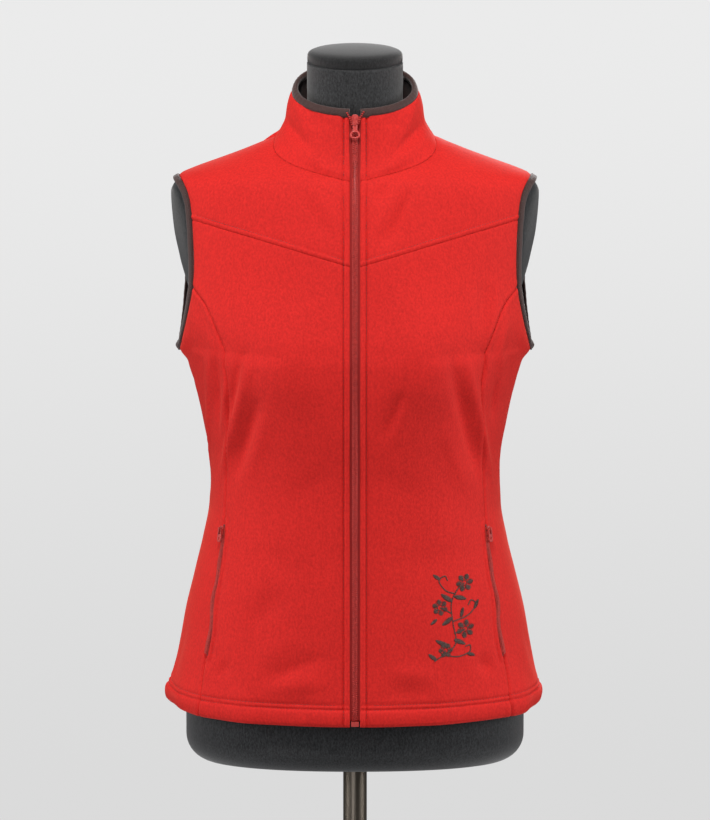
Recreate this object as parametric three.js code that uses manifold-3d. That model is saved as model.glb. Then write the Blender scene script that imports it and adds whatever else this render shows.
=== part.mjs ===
// A sleeveless zip-front fleece vest worn by a limbless dress form on a pole stand.
// Millimetres, +Z up, the front faces -Y. Left and right are the wearer's, so left is +X.
import * as THREE from 'three';
import { mergeVertices } from 'three/addons/utils/BufferGeometryUtils.js';
import Module from 'manifold-3d';

const wasm = await Module();
wasm.setup();

const RAD = THREE.MathUtils.degToRad(1);
const QUARTER = Math.PI / 2;
const { lerp, smoothstep } = THREE.MathUtils;

// ---------- driving dimensions ----------

const FLEECE = 2.2;              // thickness of the fleece
const SEAM_INSET = 0.17;         // each piece stops this far short of its seam line
const ROUNDNESS = 0.9;           // exponent of the body sections: 1 is an ellipse, less is boxier

// Outside of the vest: half width, depth in front of and behind the side line, y of the side line
const VEST_SECTIONS = [
  { z: 834, half: 193.5, front: 139, back: 130, side: 0 },
  { z: 856, half: 196.5, front: 138, back: 128.5, side: 0 },
  { z: 875, half: 190.7, front: 137, back: 127, side: 0 },
  { z: 907, half: 183.7, front: 135, back: 124, side: 0 },
  { z: 944, half: 177, front: 133, back: 118, side: 0 },
  { z: 983, half: 167.8, front: 131, back: 109, side: 0.5 },
  { z: 1018, half: 159.2, front: 130, back: 101, side: 1 },
  { z: 1055, half: 152.6, front: 130, back: 96.5, side: 1 },
  { z: 1081, half: 152.2, front: 131.5, back: 96, side: 1.5 },
  { z: 1106, half: 153.4, front: 134.5, back: 98, side: 2 },
  { z: 1131, half: 157.5, front: 138, back: 102, side: 2 },
  { z: 1160, half: 163, front: 140.5, back: 109, side: 2.5 },
  { z: 1182, half: 169, front: 141.5, back: 115, side: 2.5 },
  { z: 1203, half: 174.6, front: 142, back: 120, side: 3 },
  { z: 1218, half: 185.6, front: 140.5, back: 122, side: 3 },
  { z: 1250, half: 187, front: 134, back: 124, side: 3.5 },
  { z: 1283, half: 189, front: 127, back: 123.5, side: 4 },
  { z: 1310, half: 191, front: 121, back: 120, side: 4 },
  { z: 1341, half: 194, front: 112, back: 112, side: 4.5 },
  { z: 1381, half: 197, front: 99, back: 93, side: 5 },
  { z: 1392, half: 192, front: 93, back: 87, side: 5 },
  { z: 1398, half: 184, front: 87, back: 82, side: 5 },
  { z: 1405, half: 168, front: 79, back: 75, side: 5 },
  { z: 1415, half: 140, front: 68, back: 64, side: 5 },
  { z: 1425, half: 113, front: 58, back: 54, side: 5 },
  { z: 1438, half: 83, front: 48, back: 45, side: 5 },
  { z: 1450, half: 66, front: 43, back: 41, side: 5 },
];

// The fullness over the chest, one soft mound each side
const BUST = { x: 78, z: 1205, height: 14, reachX: 48, reachZ: 60 };

// Hem and seams
const HEM = { side: 845, frontDrop: 10, backDrop: 2 };
const YOKE_SEAM = { centre: 1305.5, side: 1351.6, bow: 0.45 };
const PRINCESS_SEAM = [
  { z: 841, x: 161 },
  { z: 872, x: 158.5 },
  { z: 900, x: 154.5 },
  { z: 925, x: 149.5 },
  { z: 957, x: 147 },
  { z: 995, x: 140 },
  { z: 1021, x: 137 },
  { z: 1073, x: 133.5 },
  { z: 1141, x: 130.5 },
  { z: 1172, x: 130.5 },
  { z: 1205, x: 135 },
  { z: 1236, x: 142.5 },
  { z: 1262, x: 152.6 },
  { z: 1282, x: 168 },
];

// Armhole edge: x at each height, from the underarm scoop up to the shoulder tip
const ARMHOLE = [
  { z: 1282, front: 168, back: 176.5 },
  { z: 1300, front: 167.5, back: 176 },
  { z: 1334, front: 168.4, back: 176 },
  { z: 1367, front: 171, back: 177 },
  { z: 1381, front: 174.5, back: 179 },
  { z: 1390, front: 178.5, back: 181 },
  { z: 1398, front: 184, back: 184 },
];
const UNDERARM = { z: 1213, scoopTop: 1282, scoopPower: 2.4 };
const NECK = { front: 1392, side: 1438, back: 1432 };

// Collar: a ring that narrows from the neckline to its tilted top edge
const COLLAR = {
  halfWidth: 66,
  halfDepth: 59,
  centreY: -11,
  frontTop: 1458.5,
  tilt: 0.415,
  bulge: 1.5,
  sideBulge: 3,
  edgeBase: 5.2,
  edgeTop: 6,
  lining: 1.5,
};

// Bindings: a folded strip round a cut edge, outside the edge it closes
const BINDING = { width: 6.6, start: 0.3, bevel: 1.4 };
const ARMHOLE_BINDING = { out: 0.9, in: -2.4 };
const COLLAR_BINDING = { out: 0.7, in: -4.7 };

// Front zip
const ZIP = {
  fleeceEdge: 5.2,
  chainHalf: 3.3,
  chainOut: -0.4,
  chainIn: -2.4,
  tapeInner: 1.6,
  tapeOuter: 14,
  tapeOut: -3,
  tapeIn: -3.6,
  bottom: 841,
  sliderAt: 0.92,
};
const ZIP_STOP = { halfWidth: 4, length: 5, out: 0.3, in: -2.4 };

// Pocket zips lie on the princess seams
const POCKET = { low: 903, high: 1035, halfWidth: 2.4, out: 1.7, in: 0.3 };

// Sliders, at full size for the front zip and smaller on the pockets
const SLIDER = {
  length: 14,
  topWidth: 9.6,
  lowWidth: 7,
  plate: 1.2,
  archHalf: 1.2,
  archReach: 4.2,
  archPost: 1.8,
  archGap: 2.3,
  archBar: 1,
};
const PULL = {
  pivotUp: 0.6,
  wire: 0.7,
  armInner: 1.6,
  armOuter: 3,
  armLength: 8,
  length: 19,
  halfWidth: 4.9,
  thickness: 1.2,
  hole: { up: -14, halfWidth: 1.9, halfLength: 2.9 },
};
const POCKET_SCALE = 0.66;

// Dress form: torso below the shoulders, then the vest's own shape drawn in by a clearance
const FORM_SECTIONS = [
  { z: 782, half: 178, front: 121, back: 112, side: 0 },
  { z: 850, half: 178, front: 122, back: 113, side: 0 },
  { z: 900, half: 176, front: 121, back: 112, side: 0 },
  { z: 950, half: 168, front: 117, back: 106, side: 0 },
  { z: 1000, half: 150, front: 112, back: 97, side: 0.5 },
  { z: 1065, half: 130, front: 108, back: 88, side: 1 },
  { z: 1150, half: 141, front: 122, back: 99, side: 2 },
  { z: 1210, half: 152, front: 131, back: 110, side: 3 },
  { z: 1250, half: 165, front: 127, back: 117, side: 3.5 },
  { z: 1290, half: 177.5, front: 119, back: 118.5, side: 4 },
  { z: 1310, half: 183, front: 115.5, back: 117, side: 4 },
  { z: 1341, half: 188.5, front: 107, back: 109, side: 4.5 },
];
const FORM = { bottom: 782, fillet: 28, top: 1434, drop: 1.4, side: 4.5, front: 10, back: 20 };
const FORM_NECK_DROP = { by: 5, from: 1411, to: 1423 };
const FORM_BLEND = { from: 1312, to: 1352 };
const FORM_NECK = { radius: 50, low: 1400, high: 1513.7, lowY: -4, highY: -13, tilt: 10 };
const CAP_PROFILE = [
  { up: 0.3, radius: 48.4 },
  { up: 2.5, radius: 49.6 },
  { up: 8.5, radius: 49.4 },
  { up: 11.8, radius: 46.8 },
  { up: 14, radius: 39 },
  { up: 15.4, radius: 24 },
  { up: 16, radius: 10 },
];
const POLE = { radius: 12.5, bottom: 10.3, clearance: 0.3 };
const BASE = { radius: 203, rim: 4, slopeTop: 10, hubFoot: 14, hubTop: 34, hubRadius: 19 };
const SOCKET = { radius: 12.9, floor: 10 };

// Places of the grid columns along half of the neckline, from the centre to the shoulder
const FRONT_NECK_SHARES = [0, 0.05, 0.1, 0.22, 0.44, 0.7, 1];
const BACK_NECK_SHARES = [0, 0.22, 0.48, 0.74, 1];
// Height of the level line in the back panel's grid, between the armholes
const BACK_LEVEL = 1341;
// The steps up the back armhole start small at the underarm
const BACK_ARM_POWER = 1.6;

// Fineness of the faceted solids
const STEPS = {
  hemToArm: 18,
  armToYoke: 3,
  yokeToTip: 6,
  shoulder: 4,
  backArmLow: 6,
  backArmHigh: 6,
  sideColumns: 6,
  collarRows: 5,
  zipRows: 24,
  pocketRows: 10,
  formRows: 24,
  formAround: 28,
  neckAround: 28,
  neckRows: 4,
  round: 32,
};

// ---------- curves and surfaces ----------

// A smooth curve through the rows of a table that never swings past them
function tableCurve(rows, key) {
  const last = rows.length - 1;
  const span = rows.slice(1).map((row, i) => row.z - rows[i].z);
  const rise = span.map((width, i) => (rows[i + 1][key] - rows[i][key]) / width);
  const slope = rows.map((row, i) => {
    if (i === 0) return rise[0];
    if (i === last) return rise[last - 1];
    if (rise[i - 1] * rise[i] <= 0) return 0;
    const near = 2 * span[i] + span[i - 1];
    const far = span[i] + 2 * span[i - 1];
    return (near + far) / (near / rise[i - 1] + far / rise[i]);
  });
  return (z) => {
    let i = rows.findIndex((row) => row.z > z) - 1;
    if (z >= rows[last].z) i = last - 1;
    if (i < 0) i = 0;
    const t = Math.min(Math.max((z - rows[i].z) / span[i], 0), 1);
    const a = rows[i][key];
    const b = rows[i + 1][key];
    const bend = slope[i] * span[i] * t * (1 - t) ** 2 - slope[i + 1] * span[i] * t * t * (1 - t);
    return a + (b - a) * t * t * (3 - 2 * t) + bend;
  };
}

function sectionCurves(rows) {
  const curves = {};
  for (const key of ['half', 'front', 'back', 'side']) curves[key] = tableCurve(rows, key);
  return curves;
}

const vest = sectionCurves(VEST_SECTIONS);
const torso = sectionCurves(FORM_SECTIONS);
const princessX = tableCurve(PRINCESS_SEAM, 'x');
const armholeX = { front: tableCurve(ARMHOLE, 'front'), back: tableCurve(ARMHOLE, 'back') };

// A point of a rounded section: angle 0 is the centre front, 90 degrees the left side
function sectionPoint(angle, z, half, front, back, side) {
  const across = Math.sin(angle);
  const along = Math.cos(angle);
  const x = Math.sign(across) * half * Math.abs(across) ** ROUNDNESS;
  const depth = along > 0 ? front : back;
  const y = side - Math.sign(along) * depth * Math.abs(along) ** ROUNDNESS;
  return new THREE.Vector3(x, y, z);
}

function bodyPoint(angle, z) {
  const point = sectionPoint(angle, z, vest.half(z), vest.front(z), vest.back(z), vest.side(z));
  const along = Math.max(Math.cos(angle), 0);
  const offX = (Math.abs(point.x) - BUST.x) / BUST.reachX;
  const offZ = (z - BUST.z) / BUST.reachZ;
  point.y -= BUST.height * Math.exp(-offX * offX - offZ * offZ) * Math.sqrt(along);
  return point;
}

// The outward normal of a surface given by two parameters, from its neighbours
function normalOf(surface, a, b, stepA, stepB) {
  const alongA = surface(a + stepA, b).sub(surface(a - stepA, b));
  const alongB = surface(a, b + stepB).sub(surface(a, b - stepB));
  return alongA.cross(alongB).normalize();
}

const bodyNormal = (angle, z) => normalOf(bodyPoint, angle, z, 0.02, 0.6);
const angleAt = (x, z) => Math.asin(Math.min(x / vest.half(z), 1) ** (1 / ROUNDNESS));

// ---------- seam lines, as angles round the body ----------

const zipAngle = (z) => angleAt(ZIP.fleeceEdge, z);
const princessAngle = (z) => angleAt(princessX(z), z);
const frontArmAngle = (z) => (z >= NECK_TIP ? QUARTER : angleAt(armholeX.front(z), z));
const NECK_TIP = ARMHOLE[ARMHOLE.length - 1].z;
const scoopEndAngle = angleAt(ARMHOLE[0].front, UNDERARM.scoopTop);
const backScoopAngle = Math.PI - angleAt(ARMHOLE[0].back, UNDERARM.scoopTop);

// The underarm scoop rises from the side seam to each end by a power of the angle
function scoopZ(angle, endAngle) {
  const reach = Math.abs((angle - QUARTER) / (endAngle - QUARTER));
  return lerp(UNDERARM.z, UNDERARM.scoopTop, reach ** UNDERARM.scoopPower);
}

function backArmAngle(z) {
  if (z <= UNDERARM.z || z >= NECK_TIP) return QUARTER;
  if (z >= UNDERARM.scoopTop) return Math.PI - angleAt(armholeX.back(z), z);
  const reach = (z - UNDERARM.z) / (UNDERARM.scoopTop - UNDERARM.z);
  return lerp(QUARTER, backScoopAngle, reach ** (1 / UNDERARM.scoopPower));
}

function hemZ(angle) {
  const along = Math.cos(angle);
  const drop = along > 0 ? HEM.frontDrop : HEM.backDrop;
  return HEM.side - drop * Math.abs(along) ** 0.8;
}

const necklineZ = (angle) => {
  const side = Math.abs(Math.sin(angle));
  if (Math.cos(angle) > 0) return lerp(NECK.front, NECK.side, side);
  return lerp(NECK.back, NECK.side, (1 - Math.abs(angle - QUARTER) / QUARTER) ** 1.5);
};

// ---------- closed solids from grids ----------

function solidGeometry(points, faces) {
  const geometry = new THREE.BufferGeometry();
  const position = new Float32Array(points.length * 3);
  points.forEach((point, i) => point.toArray(position, i * 3));
  geometry.setAttribute('position', new THREE.BufferAttribute(position, 3));
  let volume = 0;
  for (const [a, b, c] of faces) {
    volume += points[a].dot(points[b].clone().cross(points[c]));
  }
  const order = volume > 0 ? faces : faces.map(([a, b, c]) => [a, c, b]);
  geometry.setIndex(order.flat());
  geometry.computeVertexNormals();
  return geometry;
}

// Move the rim of a grid of points inward, square to the rim
function insetRim(grid, inset) {
  const rows = grid.length - 1;
  const columns = grid[0].length - 1;
  const shifts = [];
  const edge = (row, column, alongRow, alongColumn, inRow, inColumn) => {
    const here = grid[row][column];
    const before = grid[Math.max(row - alongRow, 0)][Math.max(column - alongColumn, 0)];
    const after = grid[Math.min(row + alongRow, rows)][Math.min(column + alongColumn, columns)];
    const along = after.clone().sub(before).normalize();
    const inward = grid[row + inRow][column + inColumn].clone().sub(here);
    inward.addScaledVector(along, -inward.dot(along)).normalize();
    shifts.push([here, inward.multiplyScalar(inset)]);
  };
  for (let row = 0; row <= rows; row += 1) {
    edge(row, 0, 1, 0, 0, 1);
    edge(row, columns, 1, 0, 0, -1);
  }
  for (let column = 0; column <= columns; column += 1) {
    edge(0, column, 0, 1, 1, 0);
    edge(rows, column, 0, 1, -1, 0);
  }
  for (const [point, shift] of shifts) point.add(shift);
}

// A wall between two offsets of a grid of surface points
function wall(grid, normals, outer, inner) {
  const rows = grid.length;
  const columns = grid[0].length;
  const points = [];
  for (const offset of [outer, inner]) {
    for (let row = 0; row < rows; row += 1) {
      for (let column = 0; column < columns; column += 1) {
        points.push(grid[row][column].clone().addScaledVector(normals[row][column], offset));
      }
    }
  }
  const back = rows * columns;
  const at = (row, column) => row * columns + column;
  const faces = [];
  const quad = (a, b, c, d) => faces.push([a, b, c], [a, c, d]);
  for (let row = 0; row < rows - 1; row += 1) {
    for (let column = 0; column < columns - 1; column += 1) {
      const [a, b] = [at(row, column), at(row, column + 1)];
      const [c, d] = [at(row + 1, column + 1), at(row + 1, column)];
      quad(a, b, c, d);
      quad(back + a, back + d, back + c, back + b);
    }
  }
  for (let row = 0; row < rows - 1; row += 1) {
    quad(at(row + 1, 0), back + at(row + 1, 0), back + at(row, 0), at(row, 0));
    const end = columns - 1;
    quad(at(row, end), back + at(row, end), back + at(row + 1, end), at(row + 1, end));
  }
  for (let column = 0; column < columns - 1; column += 1) {
    quad(at(0, column), back + at(0, column), back + at(0, column + 1), at(0, column + 1));
    const top = rows - 1;
    quad(at(top, column + 1), back + at(top, column + 1), back + at(top, column), at(top, column));
  }
  return solidGeometry(points, faces);
}

// A solid through rings of equal point counts: closed on itself, or with flat ends
function loft(rings, closed) {
  const around = rings[0].length;
  const points = rings.flat();
  const faces = [];
  const spans = closed ? rings.length : rings.length - 1;
  for (let i = 0; i < spans; i += 1) {
    const next = (i + 1) % rings.length;
    for (let j = 0; j < around; j += 1) {
      const side = (j + 1) % around;
      faces.push([i * around + j, i * around + side, next * around + side]);
      faces.push([i * around + j, next * around + side, next * around + j]);
    }
  }
  if (!closed) {
    for (const [ring, turn] of [[0, -1], [rings.length - 1, 1]]) {
      const centre = new THREE.Vector3();
      for (const point of rings[ring]) centre.addScaledVector(point, 1 / around);
      points.push(centre);
      for (let j = 0; j < around; j += 1) {
        const pair = [ring * around + j, ring * around + ((j + 1) % around)];
        if (turn < 0) pair.reverse();
        faces.push([pair[0], pair[1], points.length - 1]);
      }
    }
  }
  return solidGeometry(points, faces);
}

// The same piece on the other side of the centre line
function mirrored(geometry) {
  const copy = geometry.clone();
  copy.scale(-1, 1, 1);
  const index = Array.from(copy.index.array);
  for (let i = 0; i < index.length; i += 3) [index[i + 1], index[i + 2]] = [index[i + 2], index[i + 1]];
  copy.setIndex(index);
  copy.computeVertexNormals();
  return copy;
}

function toManifold(geometry) {
  const bare = geometry.clone();
  bare.deleteAttribute('normal');
  bare.deleteAttribute('uv');
  const merged = mergeVertices(bare, 1e-4);
  const vertProperties = merged.attributes.position.array;
  const triVerts = Uint32Array.from(merged.index.array);
  return new wasm.Manifold(new wasm.Mesh({ numProp: 3, vertProperties, triVerts }));
}

function joined(geometries) {
  const solid = geometries.map(toManifold).reduce((sum, piece) => sum.add(piece));
  const mesh = solid.getMesh();
  const geometry = new THREE.BufferGeometry();
  geometry.setAttribute('position', new THREE.BufferAttribute(new Float32Array(mesh.vertProperties), 3));
  geometry.setIndex(Array.from(mesh.triVerts));
  geometry.computeVertexNormals();
  return geometry;
}

// ---------- panels of the body ----------

const fractions = (count) => Array.from({ length: count + 1 }, (unused, i) => i / count);
const PRINCESS_HEM = hemZ(princessAngle(PRINCESS_SEAM[0].z));
const place = (angle, z) => ({ angle, z });

// Seam lines as lists of places, shared by the pieces on both sides of a seam
const zipLine = (low, high, shares) => shares.map((t) => {
  const z = lerp(low, high, t);
  return place(zipAngle(z), z);
});
const yokeShares = fractions(STEPS.yokeToTip).map((t) => Math.sin(t * QUARTER));
const princessLine = fractions(STEPS.hemToArm).map((t) => {
  const z = lerp(PRINCESS_HEM, UNDERARM.scoopTop, t);
  return place(princessAngle(z), z);
});
const sideLine = fractions(STEPS.hemToArm).map((t) => place(QUARTER, lerp(HEM.side, UNDERARM.z, t)));
const armToYokeLine = fractions(STEPS.armToYoke).map((t) => {
  const z = lerp(UNDERARM.scoopTop, YOKE_SEAM.side, t);
  return place(frontArmAngle(z), z);
});
const yokeToTipLine = yokeShares.map((t) => {
  const z = lerp(YOKE_SEAM.side, NECK_TIP, t);
  return place(frontArmAngle(z), z);
});
const backArmLow = fractions(STEPS.backArmLow).map((t) => {
  const z = lerp(UNDERARM.z, BACK_LEVEL, t ** BACK_ARM_POWER);
  return place(backArmAngle(z), z);
});
const backArmShares = fractions(STEPS.backArmHigh).map((t) => Math.sin(t * QUARTER));
const backArmHigh = backArmShares.map((t) => {
  const z = lerp(BACK_LEVEL, NECK_TIP, t);
  return place(backArmAngle(z), z);
});
const scoopLine = fractions(STEPS.sideColumns).map((t) => {
  const angle = lerp(scoopEndAngle, QUARTER, t);
  return place(angle, scoopZ(angle, scoopEndAngle));
});
const shoulderLine = fractions(STEPS.shoulder).map((t) => place(QUARTER, lerp(NECK.side, NECK_TIP, t)));
const frontNeckLine = FRONT_NECK_SHARES.map((t) => {
  const angle = lerp(zipAngle(NECK.front), QUARTER, t);
  return place(angle, necklineZ(angle));
});
const backNeckLine = BACK_NECK_SHARES.map((t) => {
  const angle = lerp(Math.PI, QUARTER, t);
  return place(angle, necklineZ(angle));
});
const frontColumns = frontNeckLine.length + STEPS.shoulder - 1;
const yokeLine = fractions(frontColumns).map((u) => {
  const angle = lerp(zipAngle(YOKE_SEAM.centre), frontArmAngle(YOKE_SEAM.side), u);
  const rise = u * (1 + YOKE_SEAM.bow * (1 - u));
  return place(angle, lerp(YOKE_SEAM.centre, YOKE_SEAM.side, rise));
});

function hemLine(from, to, columns) {
  return fractions(columns).map((t) => place(lerp(from, to, t), hemZ(lerp(from, to, t))));
}

// Places that fill four seam lines, blended so that every edge is met
function patch({ left, right, bottom, top }) {
  const rows = left.length - 1;
  const columns = bottom.length - 1;
  const blend = (key, row, column) => {
    const v = row / rows;
    const u = column / columns;
    const across = lerp(left[row][key], right[row][key], u);
    const upwards = lerp(bottom[column][key], top[column][key], v);
    const low = lerp(bottom[0][key], bottom[columns][key], u);
    const high = lerp(top[0][key], top[columns][key], u);
    return across + upwards - lerp(low, high, v);
  };
  return left.map((unused, row) => bottom.map((none, column) => (
    place(blend('angle', row, column), blend('z', row, column)))));
}

// Wall of fleece over a grid of places
function clothOver(places) {
  const grid = places.map((row) => row.map(({ angle, z }) => bodyPoint(angle, z)));
  const normals = places.map((row) => row.map(({ angle, z }) => bodyNormal(angle, z)));
  insetRim(grid, SEAM_INSET);
  return wall(grid, normals, 0, -FLEECE);
}

function panel(lines) {
  return clothOver(patch(lines));
}

function frontPanel() {
  const right = princessLine.concat(armToYokeLine.slice(1));
  return panel({
    left: zipLine(hemZ(0), YOKE_SEAM.centre, fractions(right.length - 1)),
    right,
    bottom: hemLine(zipAngle(HEM.side), princessLine[0].angle, frontColumns),
    top: yokeLine,
  });
}

function frontYoke() {
  return panel({
    left: zipLine(YOKE_SEAM.centre, NECK.front, yokeShares),
    right: yokeToTipLine,
    bottom: yokeLine,
    top: frontNeckLine.concat(shoulderLine.slice(1)),
  });
}

function sidePanel() {
  return panel({
    left: princessLine,
    right: sideLine,
    bottom: hemLine(princessLine[0].angle, QUARTER, STEPS.sideColumns),
    top: scoopLine,
  });
}

const reflect = (v) => new THREE.Vector3(-v.x, v.y, v.z);

// The back runs from one side seam round to the other, mirrored about its centre column. It is
// laid out in two heights that meet on a level line between the armholes.
function backPanel() {
  const top = backNeckLine.concat(shoulderLine.slice(1));
  const across = fractions(top.length - 1).map((t) => (
    place(lerp(Math.PI, backArmAngle(BACK_LEVEL), t), BACK_LEVEL)));
  const centre = (low, high, shares) => shares.map((t) => place(Math.PI, lerp(low, high, t)));
  const lower = patch({
    left: centre(hemZ(Math.PI), BACK_LEVEL, fractions(STEPS.hemToArm + STEPS.backArmLow)),
    right: sideLine.concat(backArmLow.slice(1)),
    bottom: hemLine(Math.PI, QUARTER, top.length - 1),
    top: across,
  });
  const upper = patch({
    left: centre(BACK_LEVEL, NECK.back, backArmShares),
    right: backArmHigh,
    bottom: across,
    top,
  });
  const opposite = ({ angle, z }) => place(2 * Math.PI - angle, z);
  return clothOver(lower.concat(upper.slice(1)).map((row) => (
    [...row].reverse().concat(row.slice(1).map(opposite)))));
}

// ---------- collar ----------

// Ring of the collar's top edge, an ellipse on a plane that rises towards the back
function collarTop(angle) {
  const x = COLLAR.halfWidth * Math.sin(angle);
  const y = COLLAR.centreY - COLLAR.halfDepth * Math.cos(angle);
  const front = COLLAR.centreY - COLLAR.halfDepth;
  return new THREE.Vector3(x, y, COLLAR.frontTop + COLLAR.tilt * (y - front));
}

// From the neckline the cloth leans in quickly, stands, and bulges a little on its way up
function collarPoint(baseAngle, topAngle, up) {
  const base = bodyPoint(baseAngle, necklineZ(baseAngle));
  const top = collarTop(topAngle);
  const side = Math.sin(topAngle) ** 2;
  const lean = 1 - Math.max(1 - up, 0) ** (2 + side);
  const bulge = (COLLAR.bulge + COLLAR.sideBulge * side) * Math.sin(Math.PI * up ** 1.6);
  const point = base.lerp(top, lean);
  point.z = lerp(necklineZ(baseAngle), top.z, up);
  point.x += bulge * Math.sin(topAngle);
  point.y -= bulge * Math.cos(topAngle);
  return point;
}

const collarBaseEdge = angleAt(COLLAR.edgeBase, NECK.front);
const collarTopEdge = Math.asin(COLLAR.edgeTop / COLLAR.halfWidth);
const collarColumns = FRONT_NECK_SHARES.map((t) => t / 2)
  .concat([...BACK_NECK_SHARES].reverse().slice(1).map((t) => 1 - t / 2));

// share 0 is the zip edge, 0.5 the side and 1 the centre back
function collarAt(share, up) {
  const half = Math.min(share, 0.5) * 2;
  const behind = Math.max(share - 0.5, 0) * 2;
  const baseAngle = lerp(collarBaseEdge, QUARTER, half) + behind * QUARTER;
  const topAngle = lerp(collarTopEdge, Math.PI, share);
  return collarPoint(baseAngle, topAngle, Math.max(up, 0));
}

function collarNormal(share, up) {
  const inside = Math.min(share, 0.985);
  const height = Math.min(Math.max(up, 0.03), 0.97);
  return normalOf(collarAt, inside, height, 0.015, 0.03);
}

function collarWall(columns, outer, inner) {
  const grid = [];
  const normals = [];
  for (const up of fractions(STEPS.collarRows)) {
    const points = columns.map((share) => collarAt(share, up));
    const outwards = columns.map((share) => collarNormal(share, up));
    outwards[outwards.length - 1].setX(0).normalize();
    grid.push([...points].concat(points.slice(0, -1).reverse().map(reflect)));
    normals.push([...outwards].concat(outwards.slice(0, -1).reverse().map(reflect)));
  }
  insetRim(grid, SEAM_INSET);
  return wall(grid, normals, outer, inner);
}

// The lining lies inside the fleece and starts beside the zip tape
const LINING_OUT = -FLEECE - 0.4;
const liningColumns = collarColumns.slice(2);

// ---------- bindings ----------

// Section of a binding: reach runs out of the cloth, out is along the cloth's normal
function bindingSection(point, normal, reach, band) {
  const { width, start, bevel } = BINDING;
  const corners = [
    [start, band.out],
    [width - bevel, band.out],
    [width, band.out - bevel],
    [width, band.in + bevel],
    [width - bevel, band.in],
    [start, band.in],
  ];
  return corners.map(([outwards, up]) => point.clone()
    .addScaledVector(reach, outwards).addScaledVector(normal, up));
}

function armholeBinding() {
  const path = [];
  const lines = [
    [...yokeToTipLine].reverse(),
    [...armToYokeLine].reverse().slice(1),
    scoopLine.slice(1),
    backArmLow.slice(1),
    backArmHigh.slice(1, -1),
  ];
  for (const { angle, z } of lines.flat()) {
    path.push({ point: bodyPoint(angle, z), normal: bodyNormal(angle, z) });
  }
  const count = path.length;
  const rings = path.map(({ point, normal }, i) => {
    const along = path[(i + 1) % count].point.clone().sub(path[(i + count - 1) % count].point);
    const reach = normal.clone().cross(along).normalize();
    return bindingSection(point, normal, reach, ARMHOLE_BINDING);
  });
  return loft(rings, true);
}

function collarBinding() {
  const rings = [];
  for (const share of collarColumns) {
    const point = collarAt(share, 1);
    const normal = collarNormal(share, 1);
    if (share === 1) normal.setX(0).normalize();
    const along = collarAt(Math.min(share + 0.01, 1), 1).sub(collarAt(share - 0.01, 1));
    if (share === 1) along.set(-1, 0, 0);
    const reach = normal.clone().cross(along).normalize();
    rings.push(bindingSection(point, normal, reach, COLLAR_BINDING));
  }
  const otherSide = rings.slice(0, -1).reverse().map((ring) => ring.map(reflect));
  return loft(rings.concat(otherSide), false);
}

// ---------- front zip ----------

// The centre front at a distance x from the zip's middle: below 0 on the body, above on the collar
function frontPoint(x, rise) {
  const reach = Math.abs(x);
  let point;
  if (rise < 0) {
    const z = NECK.front + rise;
    point = bodyPoint(angleAt(reach, z), z);
  } else {
    point = collarPoint(angleAt(reach, NECK.front), Math.asin(reach / COLLAR.halfWidth), rise);
  }
  point.x = x;
  return point;
}

// Normal in the centre plane, from the slope of the front edge
function frontNormal(rise) {
  const step = rise < 0 ? 1 : 0.02;
  const low = frontPoint(0, rise - step);
  const high = frontPoint(0, rise >= 0 ? Math.min(rise + 0.02, 1) : rise);
  const along = high.sub(low);
  return new THREE.Vector3(0, -along.z, along.y).normalize();
}

function frontStrip(xs, rises, outer, inner) {
  const grid = rises.map((rise) => xs.map((x) => frontPoint(x, rise)));
  const normals = rises.map((rise) => xs.map(() => frontNormal(rise)));
  return wall(grid, normals, outer, inner);
}

const collarRises = (end) => fractions(STEPS.collarRows).map((t) => t * end);
const bodyRises = (bottom) => fractions(STEPS.zipRows).slice(0, -1)
  .map((t) => lerp(bottom, NECK.front, t) - NECK.front);

const sliderCentre = frontPoint(0, ZIP.sliderAt);
const CHAIN_TOP = ZIP.sliderAt + 0.035;

function zipChain() {
  const rises = bodyRises(ZIP.bottom).concat(collarRises(CHAIN_TOP));
  return frontStrip([-ZIP.chainHalf, 0, ZIP.chainHalf], rises, ZIP.chainOut, ZIP.chainIn);
}

function zipTape() {
  const rises = bodyRises(ZIP.bottom).concat(collarRises(1));
  return frontStrip([ZIP.tapeInner, ZIP.tapeOuter], rises, ZIP.tapeOut, ZIP.tapeIn);
}

function zipStop() {
  const high = ZIP.bottom - 0.3 - NECK.front;
  const xs = [-ZIP_STOP.halfWidth, ZIP_STOP.halfWidth];
  return frontStrip(xs, [high - ZIP_STOP.length, high], ZIP_STOP.out, ZIP_STOP.in);
}

// ---------- sliders and pulls, local x across, y up the zip, z out of it ----------

function plateShape(scale) {
  const shape = new THREE.Shape();
  const half = SLIDER.length / 2 * scale;
  const top = SLIDER.topWidth / 2 * scale;
  const low = SLIDER.lowWidth / 2 * scale;
  shape.moveTo(-low, -half);
  shape.lineTo(low, -half);
  shape.lineTo(low, -half * 0.1);
  shape.lineTo(top, half * 0.35);
  shape.lineTo(top * 0.8, half * 0.9);
  shape.lineTo(top * 0.35, half);
  shape.lineTo(-top * 0.35, half);
  shape.lineTo(-top * 0.8, half * 0.9);
  shape.lineTo(-top, half * 0.35);
  shape.lineTo(-low, -half * 0.1);
  shape.closePath();
  return shape;
}

function slab(shape, from, to) {
  const geometry = new THREE.ExtrudeGeometry(shape, { depth: to - from, bevelEnabled: false });
  return geometry.translate(0, 0, from);
}

function block(x, y, z) {
  const geometry = new THREE.BoxGeometry(x[1] - x[0], y[1] - y[0], z[1] - z[0]);
  return geometry.translate((x[0] + x[1]) / 2, (y[0] + y[1]) / 2, (z[0] + z[1]) / 2);
}

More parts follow.
